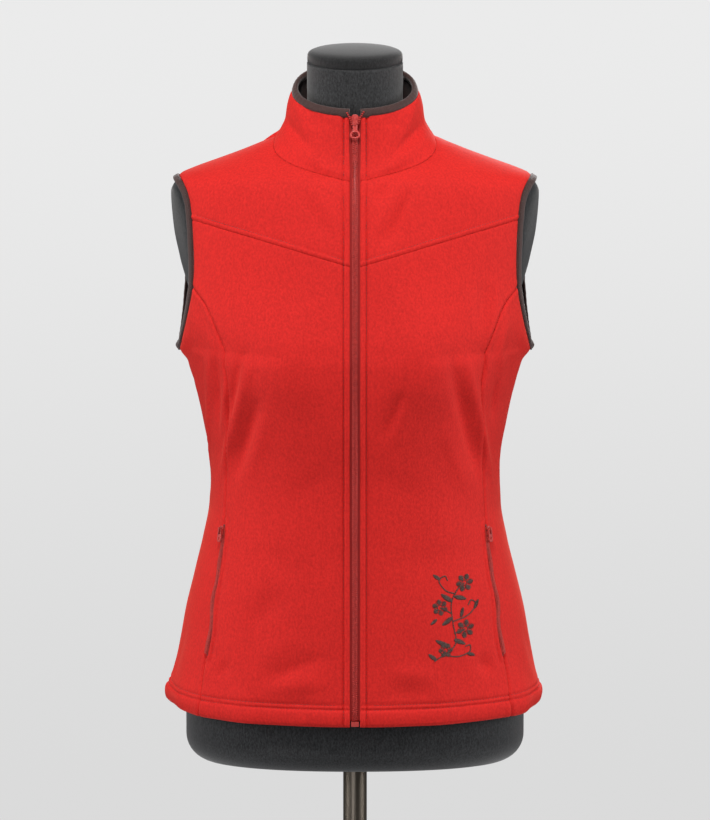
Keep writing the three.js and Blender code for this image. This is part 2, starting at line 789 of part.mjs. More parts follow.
// A plate with an arch for the pull; foot is the height of the plate's underside
function sliderGeometry(foot, scale, pieces = []) {
  const face = foot + SLIDER.plate;
  const side = [-SLIDER.archHalf * scale, SLIDER.archHalf * scale];
  const reach = SLIDER.archReach * scale;
  const under = face + SLIDER.archGap;
  const post = SLIDER.archPost * scale;
  const sink = 0.2;
  return joined([
    slab(plateShape(scale), foot, face),
    block(side, [-reach, -reach + post], [face - sink, under + sink]),
    block(side, [reach - post, reach], [face - sink, under + sink]),
    block(side, [-reach, reach], [under, under + SLIDER.archBar]),
    ...pieces,
  ]);
}

// The pull turns on the bar of its eye, which is the local x axis
function pullGeometry(scale) {
  const reach = PULL.halfWidth * scale;
  const armOut = PULL.armOuter;
  const arm = -PULL.armLength * scale;
  const end = -PULL.length * scale;
  const outline = new THREE.Shape();
  outline.moveTo(armOut, PULL.wire);
  outline.lineTo(armOut, arm);
  outline.lineTo(reach, arm - 2.5 * scale);
  outline.lineTo(reach, end + 2 * scale);
  outline.lineTo(reach * 0.6, end);
  outline.lineTo(-reach * 0.6, end);
  outline.lineTo(-reach, end + 2 * scale);
  outline.lineTo(-reach, arm - 2.5 * scale);
  outline.lineTo(-armOut, arm);
  outline.lineTo(-armOut, PULL.wire);
  outline.closePath();
  const eye = new THREE.Path();
  eye.moveTo(-PULL.armInner, -PULL.wire);
  eye.lineTo(-PULL.armInner, arm + PULL.wire);
  eye.lineTo(PULL.armInner, arm + PULL.wire);
  eye.lineTo(PULL.armInner, -PULL.wire);
  eye.closePath();
  const { up, halfWidth, halfLength } = PULL.hole;
  const rim = fractions(12).slice(1).map((t) => new THREE.Vector2(
    -Math.sin(t * 2 * Math.PI) * halfWidth * scale,
    (up + Math.cos(t * 2 * Math.PI) * halfLength) * scale));
  outline.holes.push(eye, new THREE.Path(rim));
  const depth = PULL.thickness;
  const geometry = new THREE.ExtrudeGeometry(outline, { depth, bevelEnabled: false });
  return geometry.translate(0, 0, -depth / 2);
}

// A group whose axes are across, up and out of the cloth at a point
function localFrame(point, up, out) {
  const across = up.clone().cross(out).normalize();
  const group = new THREE.Group();
  group.quaternion.setFromRotationMatrix(new THREE.Matrix4().makeBasis(across, up, out));
  group.position.copy(point);
  return group;
}

// ---------- pocket zips ----------

const seamPoint = (z) => bodyPoint(princessAngle(z), z);
const seamNormal = (z) => bodyNormal(princessAngle(z), z);

function seamUp(z) {
  return seamPoint(z + 2).sub(seamPoint(z - 2)).normalize();
}

function pocketZip() {
  const heights = fractions(STEPS.pocketRows).map((t) => lerp(POCKET.low, POCKET.high, t));
  const grid = heights.map((z) => {
    const across = seamUp(z).cross(seamNormal(z)).normalize();
    return [-1, 0, 1].map((side) => seamPoint(z).addScaledVector(across, side * POCKET.halfWidth));
  });
  const normals = heights.map((z) => [-1, 0, 1].map(() => seamNormal(z)));
  return wall(grid, normals, POCKET.out, POCKET.in);
}

// ---------- dress form ----------

function formPoint(angle, z) {
  const share = smoothstep(z, FORM_BLEND.from, FORM_BLEND.to);
  const above = z + FORM.drop
    + FORM_NECK_DROP.by * smoothstep(z, FORM_NECK_DROP.from, FORM_NECK_DROP.to);
  const half = lerp(torso.half(z), vest.half(above) - FORM.side, share);
  const front = lerp(torso.front(z), vest.front(above) - FORM.front, share);
  const back = lerp(torso.back(z), vest.back(above) - FORM.back, share);
  const side = lerp(torso.side(z), vest.side(above), share);
  const rise = Math.max(FORM.bottom + FORM.fillet - z, 0);
  const round = FORM.fillet - Math.sqrt(Math.max(FORM.fillet ** 2 - rise ** 2, 0));
  return sectionPoint(angle, z, half - round, front - round, back - round, side);
}

function formBody() {
  const low = [0, 0.06, 0.22, 0.5, 1].map((t) => FORM.bottom + FORM.fillet * t);
  const body = fractions(STEPS.formRows).slice(1).map((t) => lerp(FORM.bottom + FORM.fillet, 1372, t));
  const shoulder = [1381, 1388, 1393, 1397, 1402, 1409, 1417, 1425, FORM.top];
  const around = fractions(STEPS.formAround).slice(0, -1).map((t) => t * 2 * Math.PI);
  const rings = low.concat(body, shoulder).map((z) => around.map((angle) => formPoint(angle, z)));
  return joined([loft(rings, false), formNeck()]);
}

// Ring of the neck or cap: the plane of the ring tilts forward as the neck rises
function neckRing(share, radius, up) {
  const tilt = FORM_NECK.tilt * RAD * share;
  const y = lerp(FORM_NECK.lowY, FORM_NECK.highY, share);
  const z = lerp(FORM_NECK.low, FORM_NECK.high, share);
  return fractions(STEPS.neckAround).slice(0, -1).map((t) => {
    const angle = t * Math.PI * 2;
    const ahead = -Math.cos(angle) * radius;
    return new THREE.Vector3(
      Math.sin(angle) * radius,
      y + ahead * Math.cos(tilt) - up * Math.sin(tilt),
      z + ahead * Math.sin(tilt) + up * Math.cos(tilt),
    );
  });
}

function formNeck() {
  return loft(fractions(STEPS.neckRows).map((share) => neckRing(share, FORM_NECK.radius, 0)), false);
}

function neckCap() {
  return loft(CAP_PROFILE.map(({ up, radius }) => neckRing(1, radius, up)), false);
}

// ---------- stand ----------

function turned(profile) {
  const points = profile.map(([radius, z]) => new THREE.Vector2(radius, z));
  const geometry = new THREE.LatheGeometry(points, STEPS.round);
  geometry.rotateX(QUARTER);
  const solid = toManifold(geometry);
  const mesh = solid.getMesh();
  const vertices = [];
  for (let i = 0; i < mesh.vertProperties.length; i += 3) {
    vertices.push(new THREE.Vector3(...mesh.vertProperties.slice(i, i + 3)));
  }
  const faces = [];
  for (let i = 0; i < mesh.triVerts.length; i += 3) faces.push(Array.from(mesh.triVerts.slice(i, i + 3)));
  return solidGeometry(vertices, faces);
}

function standPole() {
  const top = FORM.bottom - POLE.clearance;
  return turned([[0, POLE.bottom], [POLE.radius, POLE.bottom], [POLE.radius, top], [0, top]]);
}

function standBase() {
  return turned([
    [0, 0],
    [BASE.radius, 0],
    [BASE.radius, BASE.rim],
    [BASE.radius - 5, BASE.rim + 3],
    [60, BASE.slopeTop],
    [BASE.hubRadius + 3, BASE.hubFoot],
    [BASE.hubRadius, BASE.hubFoot + 4],
    [BASE.hubRadius, BASE.hubTop],
    [SOCKET.radius, BASE.hubTop],
    [SOCKET.radius, SOCKET.floor],
    [0, SOCKET.floor],
  ]);
}

// ---------- materials and assembly ----------

const finish = (color, roughness, metalness = 0) => (
  new THREE.MeshStandardMaterial({ color, roughness, metalness }));

const fleece = () => finish(0xcf2b2c, 0.95);
const darkTrim = () => finish(0x3f3031, 0.9);
const zipRed = () => finish(0xc0282c, 0.55);
const zipEnamel = () => finish(0xc8262c, 0.35, 0.2);
const formJersey = () => finish(0x3c3e40, 0.92);
const steel = () => finish(0xb5b2ac, 0.3, 1);
const paintedSteel = () => finish(0x2e2f31, 0.45, 0.6);

const group = new THREE.Group();

function addMesh(name, geometry, material, parent = group) {
  const mesh = new THREE.Mesh(geometry, material);
  mesh.name = name;
  parent.add(mesh);
  return mesh;
}

function addPair(name, geometry, material) {
  addMesh(`${name}_left`, geometry, material());
  addMesh(`${name}_right`, mirrored(geometry), material());
}

addPair('front_yoke', frontYoke(), fleece);
addPair('front_panel', frontPanel(), fleece);
addPair('side_panel', sidePanel(), fleece);
addMesh('back_panel', backPanel(), fleece());
addMesh('collar', collarWall(collarColumns, 0, -FLEECE), fleece());
addMesh('collar_lining', collarWall(liningColumns, LINING_OUT, LINING_OUT - COLLAR.lining), darkTrim());
addMesh('collar_binding', collarBinding(), darkTrim());
addPair('armhole_binding', armholeBinding(), darkTrim);
addPair('zip_tape', zipTape(), zipRed);
addMesh('zip_chain', zipChain(), zipRed());
addMesh('zip_stop', zipStop(), zipEnamel());
addPair('pocket_zip', pocketZip(), zipRed);

// The front slider grips the chain between two plates joined by a wedge above the chain's end
function addFrontSlider() {
  const out = frontNormal(ZIP.sliderAt);
  const up = new THREE.Vector3(0, out.z, -out.y).normalize();
  const frame = localFrame(sliderCentre, up, out);
  group.add(frame);
  const foot = ZIP.chainOut + 0.3;
  const back = ZIP.tapeIn - 0.4;
  const half = SLIDER.length / 2;
  const extras = [
    slab(plateShape(1), back - SLIDER.plate, back),
    block([-1.1, 1.1], [half - 3.4, half - 0.4], [back - 0.2, foot + 0.2]),
  ];
  addMesh('zip_slider', sliderGeometry(foot, 1, extras), zipEnamel(), frame);
  const pull = addMesh('zip_pull', pullGeometry(1), zipEnamel(), frame);
  pull.position.set(0, PULL.pivotUp, foot + SLIDER.plate + SLIDER.archGap / 2);
}

function addPocketSlider(name, side) {
  const z = POCKET.high - SLIDER.length * POCKET_SCALE / 2;
  const point = seamPoint(z);
  const up = seamUp(z);
  const out = seamNormal(z);
  for (const vector of [point, up, out]) vector.x *= side;
  const frame = localFrame(point, up, out);
  group.add(frame);
  const foot = POCKET.out + 0.3;
  addMesh(`pocket_slider_${name}`, sliderGeometry(foot, POCKET_SCALE), zipEnamel(), frame);
  const pull = addMesh(`pocket_pull_${name}`, pullGeometry(POCKET_SCALE), zipEnamel(), frame);
  pull.position.set(0, PULL.pivotUp * POCKET_SCALE, foot + SLIDER.plate + SLIDER.archGap / 2);
}

addFrontSlider();
addPocketSlider('left', 1);
addPocketSlider('right', -1);

addMesh('form_body', formBody(), formJersey());
addMesh('form_neck_cap', neckCap(), formJersey());
addMesh('stand_pole', standPole(), steel());
addMesh('stand_base', standBase(), paintedSteel());

export default group;
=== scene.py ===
"""A red fleece vest on a limbless dress form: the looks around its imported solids."""
import math

import bpy
import numpy as np
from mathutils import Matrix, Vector


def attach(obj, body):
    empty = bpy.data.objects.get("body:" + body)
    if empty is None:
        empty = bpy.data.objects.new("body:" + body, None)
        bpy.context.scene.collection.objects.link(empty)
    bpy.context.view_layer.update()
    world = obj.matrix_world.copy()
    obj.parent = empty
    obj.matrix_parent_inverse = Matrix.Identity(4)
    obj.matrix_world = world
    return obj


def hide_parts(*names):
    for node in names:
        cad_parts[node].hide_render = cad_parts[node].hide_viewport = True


bl_info = {
    "name": "Fleece vest on a dress form",
    "version": (1, 0, 0),
    "blender": (4, 5, 0),
    "location": "View3D > Sidebar > Vest",
    "description": "Builds a zipped fleece vest, its bindings and zips, and the form that wears it",
    "category": "Add Mesh",
}

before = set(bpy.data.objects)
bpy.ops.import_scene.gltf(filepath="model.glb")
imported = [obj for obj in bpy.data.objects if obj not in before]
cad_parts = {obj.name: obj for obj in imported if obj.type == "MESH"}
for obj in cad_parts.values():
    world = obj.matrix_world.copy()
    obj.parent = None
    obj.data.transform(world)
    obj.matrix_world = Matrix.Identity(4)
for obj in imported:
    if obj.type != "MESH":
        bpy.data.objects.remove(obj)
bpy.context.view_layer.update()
ROOT_BODY = "vest_and_form"
MM = 0.001
QUARTER = math.pi / 2

# ---------- tables of the vest's body, in millimetres ----------

FLEECE = 2.2          # thickness of the fleece
ROUNDNESS = 0.9       # exponent of the body sections: 1 is an ellipse, less is boxier

# z, half width, depth in front, depth behind, y of the side line
VEST_SECTIONS = [
    (834, 193.5, 139, 130, 0), (856, 196.5, 138, 128.5, 0), (875, 190.7, 137, 127, 0),
    (907, 183.7, 135, 124, 0), (944, 177, 133, 118, 0), (983, 167.8, 131, 109, 0.5),
    (1018, 159.2, 130, 101, 1), (1055, 152.6, 130, 96.5, 1), (1081, 152.2, 131.5, 96, 1.5),
    (1106, 153.4, 134.5, 98, 2), (1131, 157.5, 138, 102, 2), (1160, 163, 140.5, 109, 2.5),
    (1182, 169, 141.5, 115, 2.5), (1203, 174.6, 142, 120, 3), (1218, 185.6, 140.5, 122, 3),
    (1250, 187, 134, 124, 3.5), (1283, 189, 127, 123.5, 4), (1310, 191, 121, 120, 4),
    (1341, 194, 112, 112, 4.5), (1381, 197, 99, 93, 5), (1392, 192, 93, 87, 5),
    (1398, 184, 87, 82, 5), (1405, 168, 79, 75, 5), (1415, 140, 68, 64, 5),
    (1425, 113, 58, 54, 5), (1438, 83, 48, 45, 5), (1450, 66, 43, 41, 5),
]
BUST = {"x": 78, "z": 1205, "height": 14, "reach_x": 48, "reach_z": 60}
HEM = {"side": 845, "front_drop": 10, "back_drop": 2}
YOKE_SEAM = {"centre": 1305.5, "side": 1351.6, "bow": 0.45}
PRINCESS_SEAM = [
    (841, 161), (872, 158.5), (900, 154.5), (925, 149.5), (957, 147), (995, 140), (1021, 137),
    (1073, 133.5), (1141, 130.5), (1172, 130.5), (1205, 135), (1236, 142.5), (1262, 152.6),
    (1282, 168),
]
# z, x of the front edge, x of the back edge
ARMHOLE = [
    (1282, 168, 176.5), (1300, 167.5, 176), (1334, 168.4, 176), (1367, 171, 177),
    (1381, 174.5, 179), (1390, 178.5, 181), (1398, 184, 184),
]
ARM_TIP = 1398
UNDERARM = {"z": 1213, "scoop_top": 1282, "power": 2.4}
NECK = {"front": 1392, "side": 1438, "back": 1432}
COLLAR = {"half_width": 66, "half_depth": 59, "centre_y": -11, "front_top": 1458.5,
          "tilt": 0.415, "bulge": 1.5, "side_bulge": 3, "edge_base": 5.2, "edge_top": 6}
ZIP_EDGE = 5.2
ZIP_BOTTOM = 841
SLIDER_AT = 0.92
POCKET = {"low": 903, "high": 1035}
BACK_LEVEL = 1341
FORM_SECTIONS = [
    (782, 178, 121, 112, 0), (850, 178, 122, 113, 0), (900, 176, 121, 112, 0),
    (950, 168, 117, 106, 0), (1000, 150, 112, 97, 0.5), (1065, 130, 108, 88, 1),
    (1150, 141, 122, 99, 2), (1210, 152, 131, 110, 3), (1250, 165, 127, 117, 3.5),
    (1290, 177.5, 119, 118.5, 4), (1310, 183, 115.5, 117, 4), (1341, 188.5, 107, 109, 4.5),
]


# ---------- curves and surfaces ----------

def lerp(a, b, t):
    """The straight blend: a where t is nought, b where it is one."""
    return a + (b - a) * t


def smoothstep(x, low, high):
    """Nought up to low, one from high on, and 3 t squared less 2 t cubed between them."""
    t = np.clip((x - low) / (high - low), 0, 1)
    return t * t * (3 - 2 * t)


def table_curve(rows, column):
    """A monotone cubic through a table: each slope is the weighted harmonic mean of its
    neighbours' rises, and nought where they differ in sign."""
    z = np.array([row[0] for row in rows], float)
    v = np.array([row[column] for row in rows], float)
    span = np.diff(z)
    rise = np.diff(v) / span
    near = 2 * span[1:] + span[:-1]
    far = span[1:] + 2 * span[:-1]
    before, after = rise[:-1], rise[1:]
    alike = before * after > 0
    slope = np.empty_like(v)
    slope[0], slope[-1] = rise[0], rise[-1]
    safe_before = np.where(alike, before, 1)
    safe_after = np.where(alike, after, 1)
    slope[1:-1] = np.where(alike, (near + far) / (near / safe_before + far / safe_after), 0)

    def curve(at):
        at = np.asarray(at, float)
        i = np.clip(np.searchsorted(z, at, side="right") - 1, 0, len(z) - 2)
        t = np.clip((at - z[i]) / span[i], 0, 1)
        bend = slope[i] * span[i] * t * (1 - t) ** 2 - slope[i + 1] * span[i] * t * t * (1 - t)
        return v[i] + (v[i + 1] - v[i]) * t * t * (3 - 2 * t) + bend

    return curve


VEST_HALF, VEST_FRONT, VEST_BACK, VEST_SIDE = (table_curve(VEST_SECTIONS, k) for k in (1, 2, 3, 4))
FORM_HALF, FORM_FRONT, FORM_BACK, FORM_SIDE = (table_curve(FORM_SECTIONS, k) for k in (1, 2, 3, 4))
PRINCESS_X = table_curve(PRINCESS_SEAM, 1)
ARMHOLE_FRONT = table_curve(ARMHOLE, 1)
ARMHOLE_BACK = table_curve(ARMHOLE, 2)


def signed_power(value, power):
    """The power of a value's size, with the value's own sign."""
    return np.sign(value) * np.abs(value) ** power


def section_point(angle, z, half, front, back, side):
    """x is the half width times sin of the angle to the power of the roundness, and y is the
    depth before or behind the side line times cos to the same power. Angle 0 is the centre
    front and a quarter turn the wearer's left side."""
    across, along = np.sin(angle), np.cos(angle)
    x = half * signed_power(across, ROUNDNESS)
    y = side - np.where(along > 0, front, back) * signed_power(along, ROUNDNESS)
    return np.stack(np.broadcast_arrays(x, y, np.asarray(z, float)), axis=-1)


def body_point(angle, z):
    """The vest's outside: its section at that height, with one soft mound each side at the bust."""
    point = section_point(angle, z, VEST_HALF(z), VEST_FRONT(z), VEST_BACK(z), VEST_SIDE(z))
    along = np.maximum(np.cos(angle), 0)
    off_x = (np.abs(point[..., 0]) - BUST["x"]) / BUST["reach_x"]
    off_z = (z - BUST["z"]) / BUST["reach_z"]
    point[..., 1] -= BUST["height"] * np.exp(-off_x ** 2 - off_z ** 2) * np.sqrt(along)
    return point


def full_turn(count):
    """That many angles, evenly spaced once round."""
    return np.linspace(0, 2 * math.pi, count, endpoint=False)


def unit(vectors):
    """Vectors shortened or stretched to a length of one."""
    return vectors / np.maximum(np.linalg.norm(vectors, axis=-1, keepdims=True), 1e-9)


def normal_of(surface, a, b, step_a, step_b):
    """Outward normal: the cross product of the surface's steps along its two parameters."""
    along_a = surface(a + step_a, b) - surface(a - step_a, b)
    along_b = surface(a, b + step_b) - surface(a, b - step_b)
    return unit(np.cross(along_a, along_b))


def body_normal(angle, z):
    """Outward normal of the vest's outside."""
    return normal_of(body_point, angle, z, 0.02, 0.6)


def angle_at(x, z):
    """The front angle of a point that lies x from the middle: section_point turned round."""
    return np.arcsin(np.minimum(np.asarray(x, float) / VEST_HALF(z), 1) ** (1 / ROUNDNESS))


def zip_angle(z):
    """Where the fleece ends beside the zip."""
    return angle_at(ZIP_EDGE, z)


def princess_angle(z):
    """Where the princess seam runs."""
    return angle_at(PRINCESS_X(z), z)


def front_arm_angle(z):
    """The armhole's front edge, and the side line from its tip upwards."""
    z = np.asarray(z, float)
    return np.where(z >= ARM_TIP, QUARTER, angle_at(ARMHOLE_FRONT(z), z))


SCOOP_END = float(angle_at(ARMHOLE[0][1], UNDERARM["scoop_top"]))
BACK_SCOOP_END = math.pi - float(angle_at(ARMHOLE[0][2], UNDERARM["scoop_top"]))


def scoop_z(angle, end):
    """The underarm rises from the side seam to each end by a power of the angle."""
    reach = np.abs((angle - QUARTER) / (end - QUARTER))
    return lerp(UNDERARM["z"], UNDERARM["scoop_top"], reach ** UNDERARM["power"])


def back_arm_angle(z):
    """The armhole's back edge: the scoop's power curve turned round below, the table above."""
    z = np.asarray(z, float)
    reach = np.clip((z - UNDERARM["z"]) / (UNDERARM["scoop_top"] - UNDERARM["z"]), 0, 1)
    low = lerp(QUARTER, BACK_SCOOP_END, reach ** (1 / UNDERARM["power"]))
    high = math.pi - angle_at(ARMHOLE_BACK(z), z)
    return np.where(z >= ARM_TIP, QUARTER, np.where(z >= UNDERARM["scoop_top"], high, low))


def hem_z(angle):
    """The hem's edge dips from the sides to the centres by the cosine to the power 0.8."""
    along = np.cos(angle)
    drop = np.where(along > 0, HEM["front_drop"], HEM["back_drop"])
    return HEM["side"] - drop * np.abs(along) ** 0.8


def neckline_z(angle):
    """The neckline rises to the shoulder by the sine in front, and behind by the power 1.5 of
    the share of the turn."""
    front = lerp(NECK["front"], NECK["side"], np.abs(np.sin(angle)))
    turn = np.clip(1 - np.abs(angle - QUARTER) / QUARTER, 0, 1)
    back = lerp(NECK["back"], NECK["side"], turn ** 1.5)
    return np.where(np.cos(angle) > 0, front, back)


def collar_top(angle):
    """The collar's top edge: an ellipse on a plane that rises towards the back."""
    x = COLLAR["half_width"] * np.sin(angle)
    y = COLLAR["centre_y"] - COLLAR["half_depth"] * np.cos(angle)
    front = COLLAR["centre_y"] - COLLAR["half_depth"]
    return np.stack([x, y, COLLAR["front_top"] + COLLAR["tilt"] * (y - front)], axis=-1)


def collar_point(base_angle, top_angle, up):
    """From the neckline the cloth leans in quickly, by a power of the height that is left, then
    stands, and bulges a little by a sine of the height's power 1.6."""
    base = body_point(base_angle, neckline_z(base_angle))
    top = collar_top(top_angle)
    side = np.sin(top_angle) ** 2
    lean = 1 - np.maximum(1 - up, 0) ** (2 + side)
    bulge = (COLLAR["bulge"] + COLLAR["side_bulge"] * side) * np.sin(
        math.pi * np.maximum(up, 0) ** 1.6)
    point = base + (top - base) * lean[..., None]
    point[..., 2] = lerp(base[..., 2], top[..., 2], up)
    point[..., 0] += bulge * np.sin(top_angle)
    point[..., 1] -= bulge * np.cos(top_angle)
    return point


COLLAR_BASE_EDGE = float(angle_at(COLLAR["edge_base"], NECK["front"]))
COLLAR_TOP_EDGE = math.asin(COLLAR["edge_top"] / COLLAR["half_width"])


def collar_at(share, up):
    """Share runs from 0 at the wearer's left zip edge through 1 at the centre back to 2 at the
    right zip edge, and up from 0 at the neckline to 1 at the top edge."""
    share, up = np.broadcast_arrays(np.asarray(share, float), np.asarray(up, float))
    left = np.where(share > 1, 2 - share, share)
    half = np.minimum(left, 0.5) * 2
    behind = np.maximum(left - 0.5, 0) * 2
    base_angle = lerp(COLLAR_BASE_EDGE, QUARTER, half) + behind * QUARTER
    top_angle = lerp(COLLAR_TOP_EDGE, math.pi, left)
    point = collar_point(base_angle, top_angle, np.maximum(up, 0))
    point[..., 0] *= np.where(share > 1, -1, 1)
    return point


def collar_normal(share, up):
    """Outward normal of the collar, taken a little inside its edges."""
    return normal_of(collar_at, share, np.clip(up, 0.03, 0.97), 0.015, 0.03)


def front_point(x, rise):
    """The centre front at a distance x from the zip's middle: rise is in millimetres below
    nought, on the body, and a share of the collar's height above it."""
    x, rise = np.broadcast_arrays(np.asarray(x, float), np.asarray(rise, float))
    reach = np.abs(x)
    z = NECK["front"] + np.minimum(rise, 0)
    low = body_point(angle_at(reach, z), z)
    base = angle_at(reach, np.full_like(reach, NECK["front"]))
    high = collar_point(base, np.arcsin(reach / COLLAR["half_width"]), np.maximum(rise, 0))
    point = np.where((rise < 0)[..., None], low, high)
    point[..., 0] = x
    return point


def front_normal(rise):
    """Normal in the centre plane, from the slope of the front edge."""
    rise = np.asarray(rise, float)
    step = np.where(rise < 0, 1, 0.02)
    low = front_point(0, rise - step)
    high = front_point(0, np.where(rise >= 0, np.minimum(rise + 0.02, 1), rise))
    along = high - low
    return unit(np.stack([0 * rise, -along[..., 2], along[..., 1]], axis=-1))


RADIAN = 170.0      # what a radian round the body counts for, in millimetres


def run_of(points):
    """How far along a polyline each of its points lies."""
    return np.concatenate([[0], np.cumsum(np.linalg.norm(np.diff(points, axis=0), axis=1))])


def read_at(at, run, points):
    """Points of a polyline at given lengths along it."""
    return np.stack([np.interp(at, run, column) for column in points.T], axis=1)


def resample(points, count, weigh=(RADIAN, 1.0)):
    """That many points along a polyline, evenly spaced by its weighed length."""
    run = run_of(points * np.array(weigh))
    return read_at(np.linspace(0, run[-1], count), run, points)


def at_shares(places, shares):
    """Places of a line at shares of its length."""
    run = run_of(places * np.array([RADIAN, 1.0]))
    return read_at(shares * run[-1], run, places)


# ---------- seam lines of the left half, as (angle, z) ----------

def line(angle, z):
    """Places (angle, z), one to a row."""
    return np.stack(np.broadcast_arrays(np.asarray(angle, float), np.asarray(z, float)), axis=1)


T = np.linspace(0, 1, 240)
EASED = np.sin(T * QUARTER)
PRINCESS_HEM = float(hem_z(princess_angle(PRINCESS_SEAM[0][0])))
Z_PRINCESS = lerp(PRINCESS_HEM, UNDERARM["scoop_top"], T)
PRINCESS_LINE = line(princess_angle(Z_PRINCESS), Z_PRINCESS)
SIDE_LINE = line(QUARTER + 0 * T, lerp(HEM["side"], UNDERARM["z"], T))
Z_ARM = lerp(UNDERARM["scoop_top"], YOKE_SEAM["side"], T)
ARM_TO_YOKE = line(front_arm_angle(Z_ARM), Z_ARM)
Z_TIP = lerp(YOKE_SEAM["side"], ARM_TIP, EASED)
YOKE_TO_TIP = line(front_arm_angle(Z_TIP), Z_TIP)
Z_BACK_LOW = lerp(UNDERARM["z"], BACK_LEVEL, T ** UNDERARM["power"])
BACK_ARM_LOW = line(back_arm_angle(Z_BACK_LOW), Z_BACK_LOW)
Z_BACK_HIGH = lerp(BACK_LEVEL, ARM_TIP, EASED)
BACK_ARM_HIGH = line(back_arm_angle(Z_BACK_HIGH), Z_BACK_HIGH)
A_SCOOP = lerp(SCOOP_END, QUARTER, T)
SCOOP_LINE = line(A_SCOOP, scoop_z(A_SCOOP, SCOOP_END))
SHOULDER_LINE = line(QUARTER + 0 * T, lerp(NECK["side"], ARM_TIP, T))
A_NECK = lerp(float(zip_angle(NECK["front"])), QUARTER, T)
FRONT_NECK = line(A_NECK, neckline_z(A_NECK))
A_BACK_NECK = lerp(math.pi, QUARTER, T)
BACK_NECK = line(A_BACK_NECK, neckline_z(A_BACK_NECK))
YOKE_LINE = line(
    lerp(float(zip_angle(YOKE_SEAM["centre"])), float(front_arm_angle(YOKE_SEAM["side"])), T),
    lerp(YOKE_SEAM["centre"], YOKE_SEAM["side"], T * (1 + YOKE_SEAM["bow"] * (1 - T))))
ARMHOLE_LOOP = np.concatenate([
    YOKE_TO_TIP[::-1], ARM_TO_YOKE[::-1][1:], SCOOP_LINE[1:], BACK_ARM_LOW[1:],
    BACK_ARM_HIGH[1:]])


def zip_line(low, high):
    """The fleece's edge beside the zip, between two heights."""
    z = lerp(low, high, T)
    return line(zip_angle(z), z)


def hem_line(start, end):
    """The hem's edge between two angles."""
    angle = lerp(start, end, T)
    return line(angle, hem_z(angle))


def spaced(length, start=0.0, end=0.0, fine=1.0, coarse=2.8):
    """Shares of a length: fine steps over its first and last millimetres, coarse between."""
    low = np.arange(0, start, fine)
    middle = np.linspace(start, length - end, max(int((length - start - end) / coarse), 1) + 1)
    high = length - np.arange(0, end, fine)[::-1]
    return np.unique(np.round(np.concatenate([low, middle, high]), 4)) / length


def end_to_end(parts):
    """Arrays in a row, each of which begins with the last entry of the one before."""
    return np.concatenate([parts[0]] + [part[1:] for part in parts[1:]])


def chain(lines, shares):
    """Lines end to end, each at its own shares, so that their corners are kept."""
    return end_to_end([at_shares(part, share) for part, share in zip(lines, shares)])


def chain_shares(lines, shares):
    """Shares of the whole chain at the points of chain()."""
    lengths = [length_of(part) for part in lines]
    starts = np.concatenate([[0], np.cumsum(lengths)])
    made = [start + share * length for start, share, length in zip(starts, shares, lengths)]
    return end_to_end(made) / starts[-1]


def fill(left, right, bottom, top, v, u):
    """Places (angle, z) that fill four seam lines: the sum of the two linear blends between
    opposite lines, less the blend of the four corners. v and u are the shares of the rows and
    the columns."""
    u, v = u[None, :, None], v[:, None, None]
    across = lerp(left[:, None], right[:, None], u)
    upwards = lerp(bottom[None], top[None], v)
    corners = lerp(lerp(bottom[0], bottom[-1], u), lerp(top[0], top[-1], u), v)
    return across + upwards - corners


def on_body(places):
    """Points of the vest's outside at places."""
    return body_point(places[..., 0], places[..., 1])


def length_of(places):
    """The length of a line on the body, in millimetres."""
    return np.linalg.norm(np.diff(on_body(places), axis=0), axis=1).sum()


# ---------- relief: how far the cloth stands off the plain body, in millimetres ----------

BATCH = 4000        # points measured at a time, which bounds the memory used


def distance_to(points, path):
    """Shortest distance of each point to a polyline's points, and the share along it there."""
    flat = points.reshape(-1, 3)
    near = np.empty(len(flat))
    share = np.empty(len(flat))
    for start in range(0, len(flat), BATCH):
        part = np.s_[start:start + BATCH]
        gap = np.linalg.norm(flat[part][:, None] - path[None], axis=2)
        best = gap.argmin(axis=1)
        near[part] = gap[np.arange(len(best)), best]
        share[part] = best / (len(path) - 1)
    return near.reshape(points.shape[:-1]), share.reshape(points.shape[:-1])


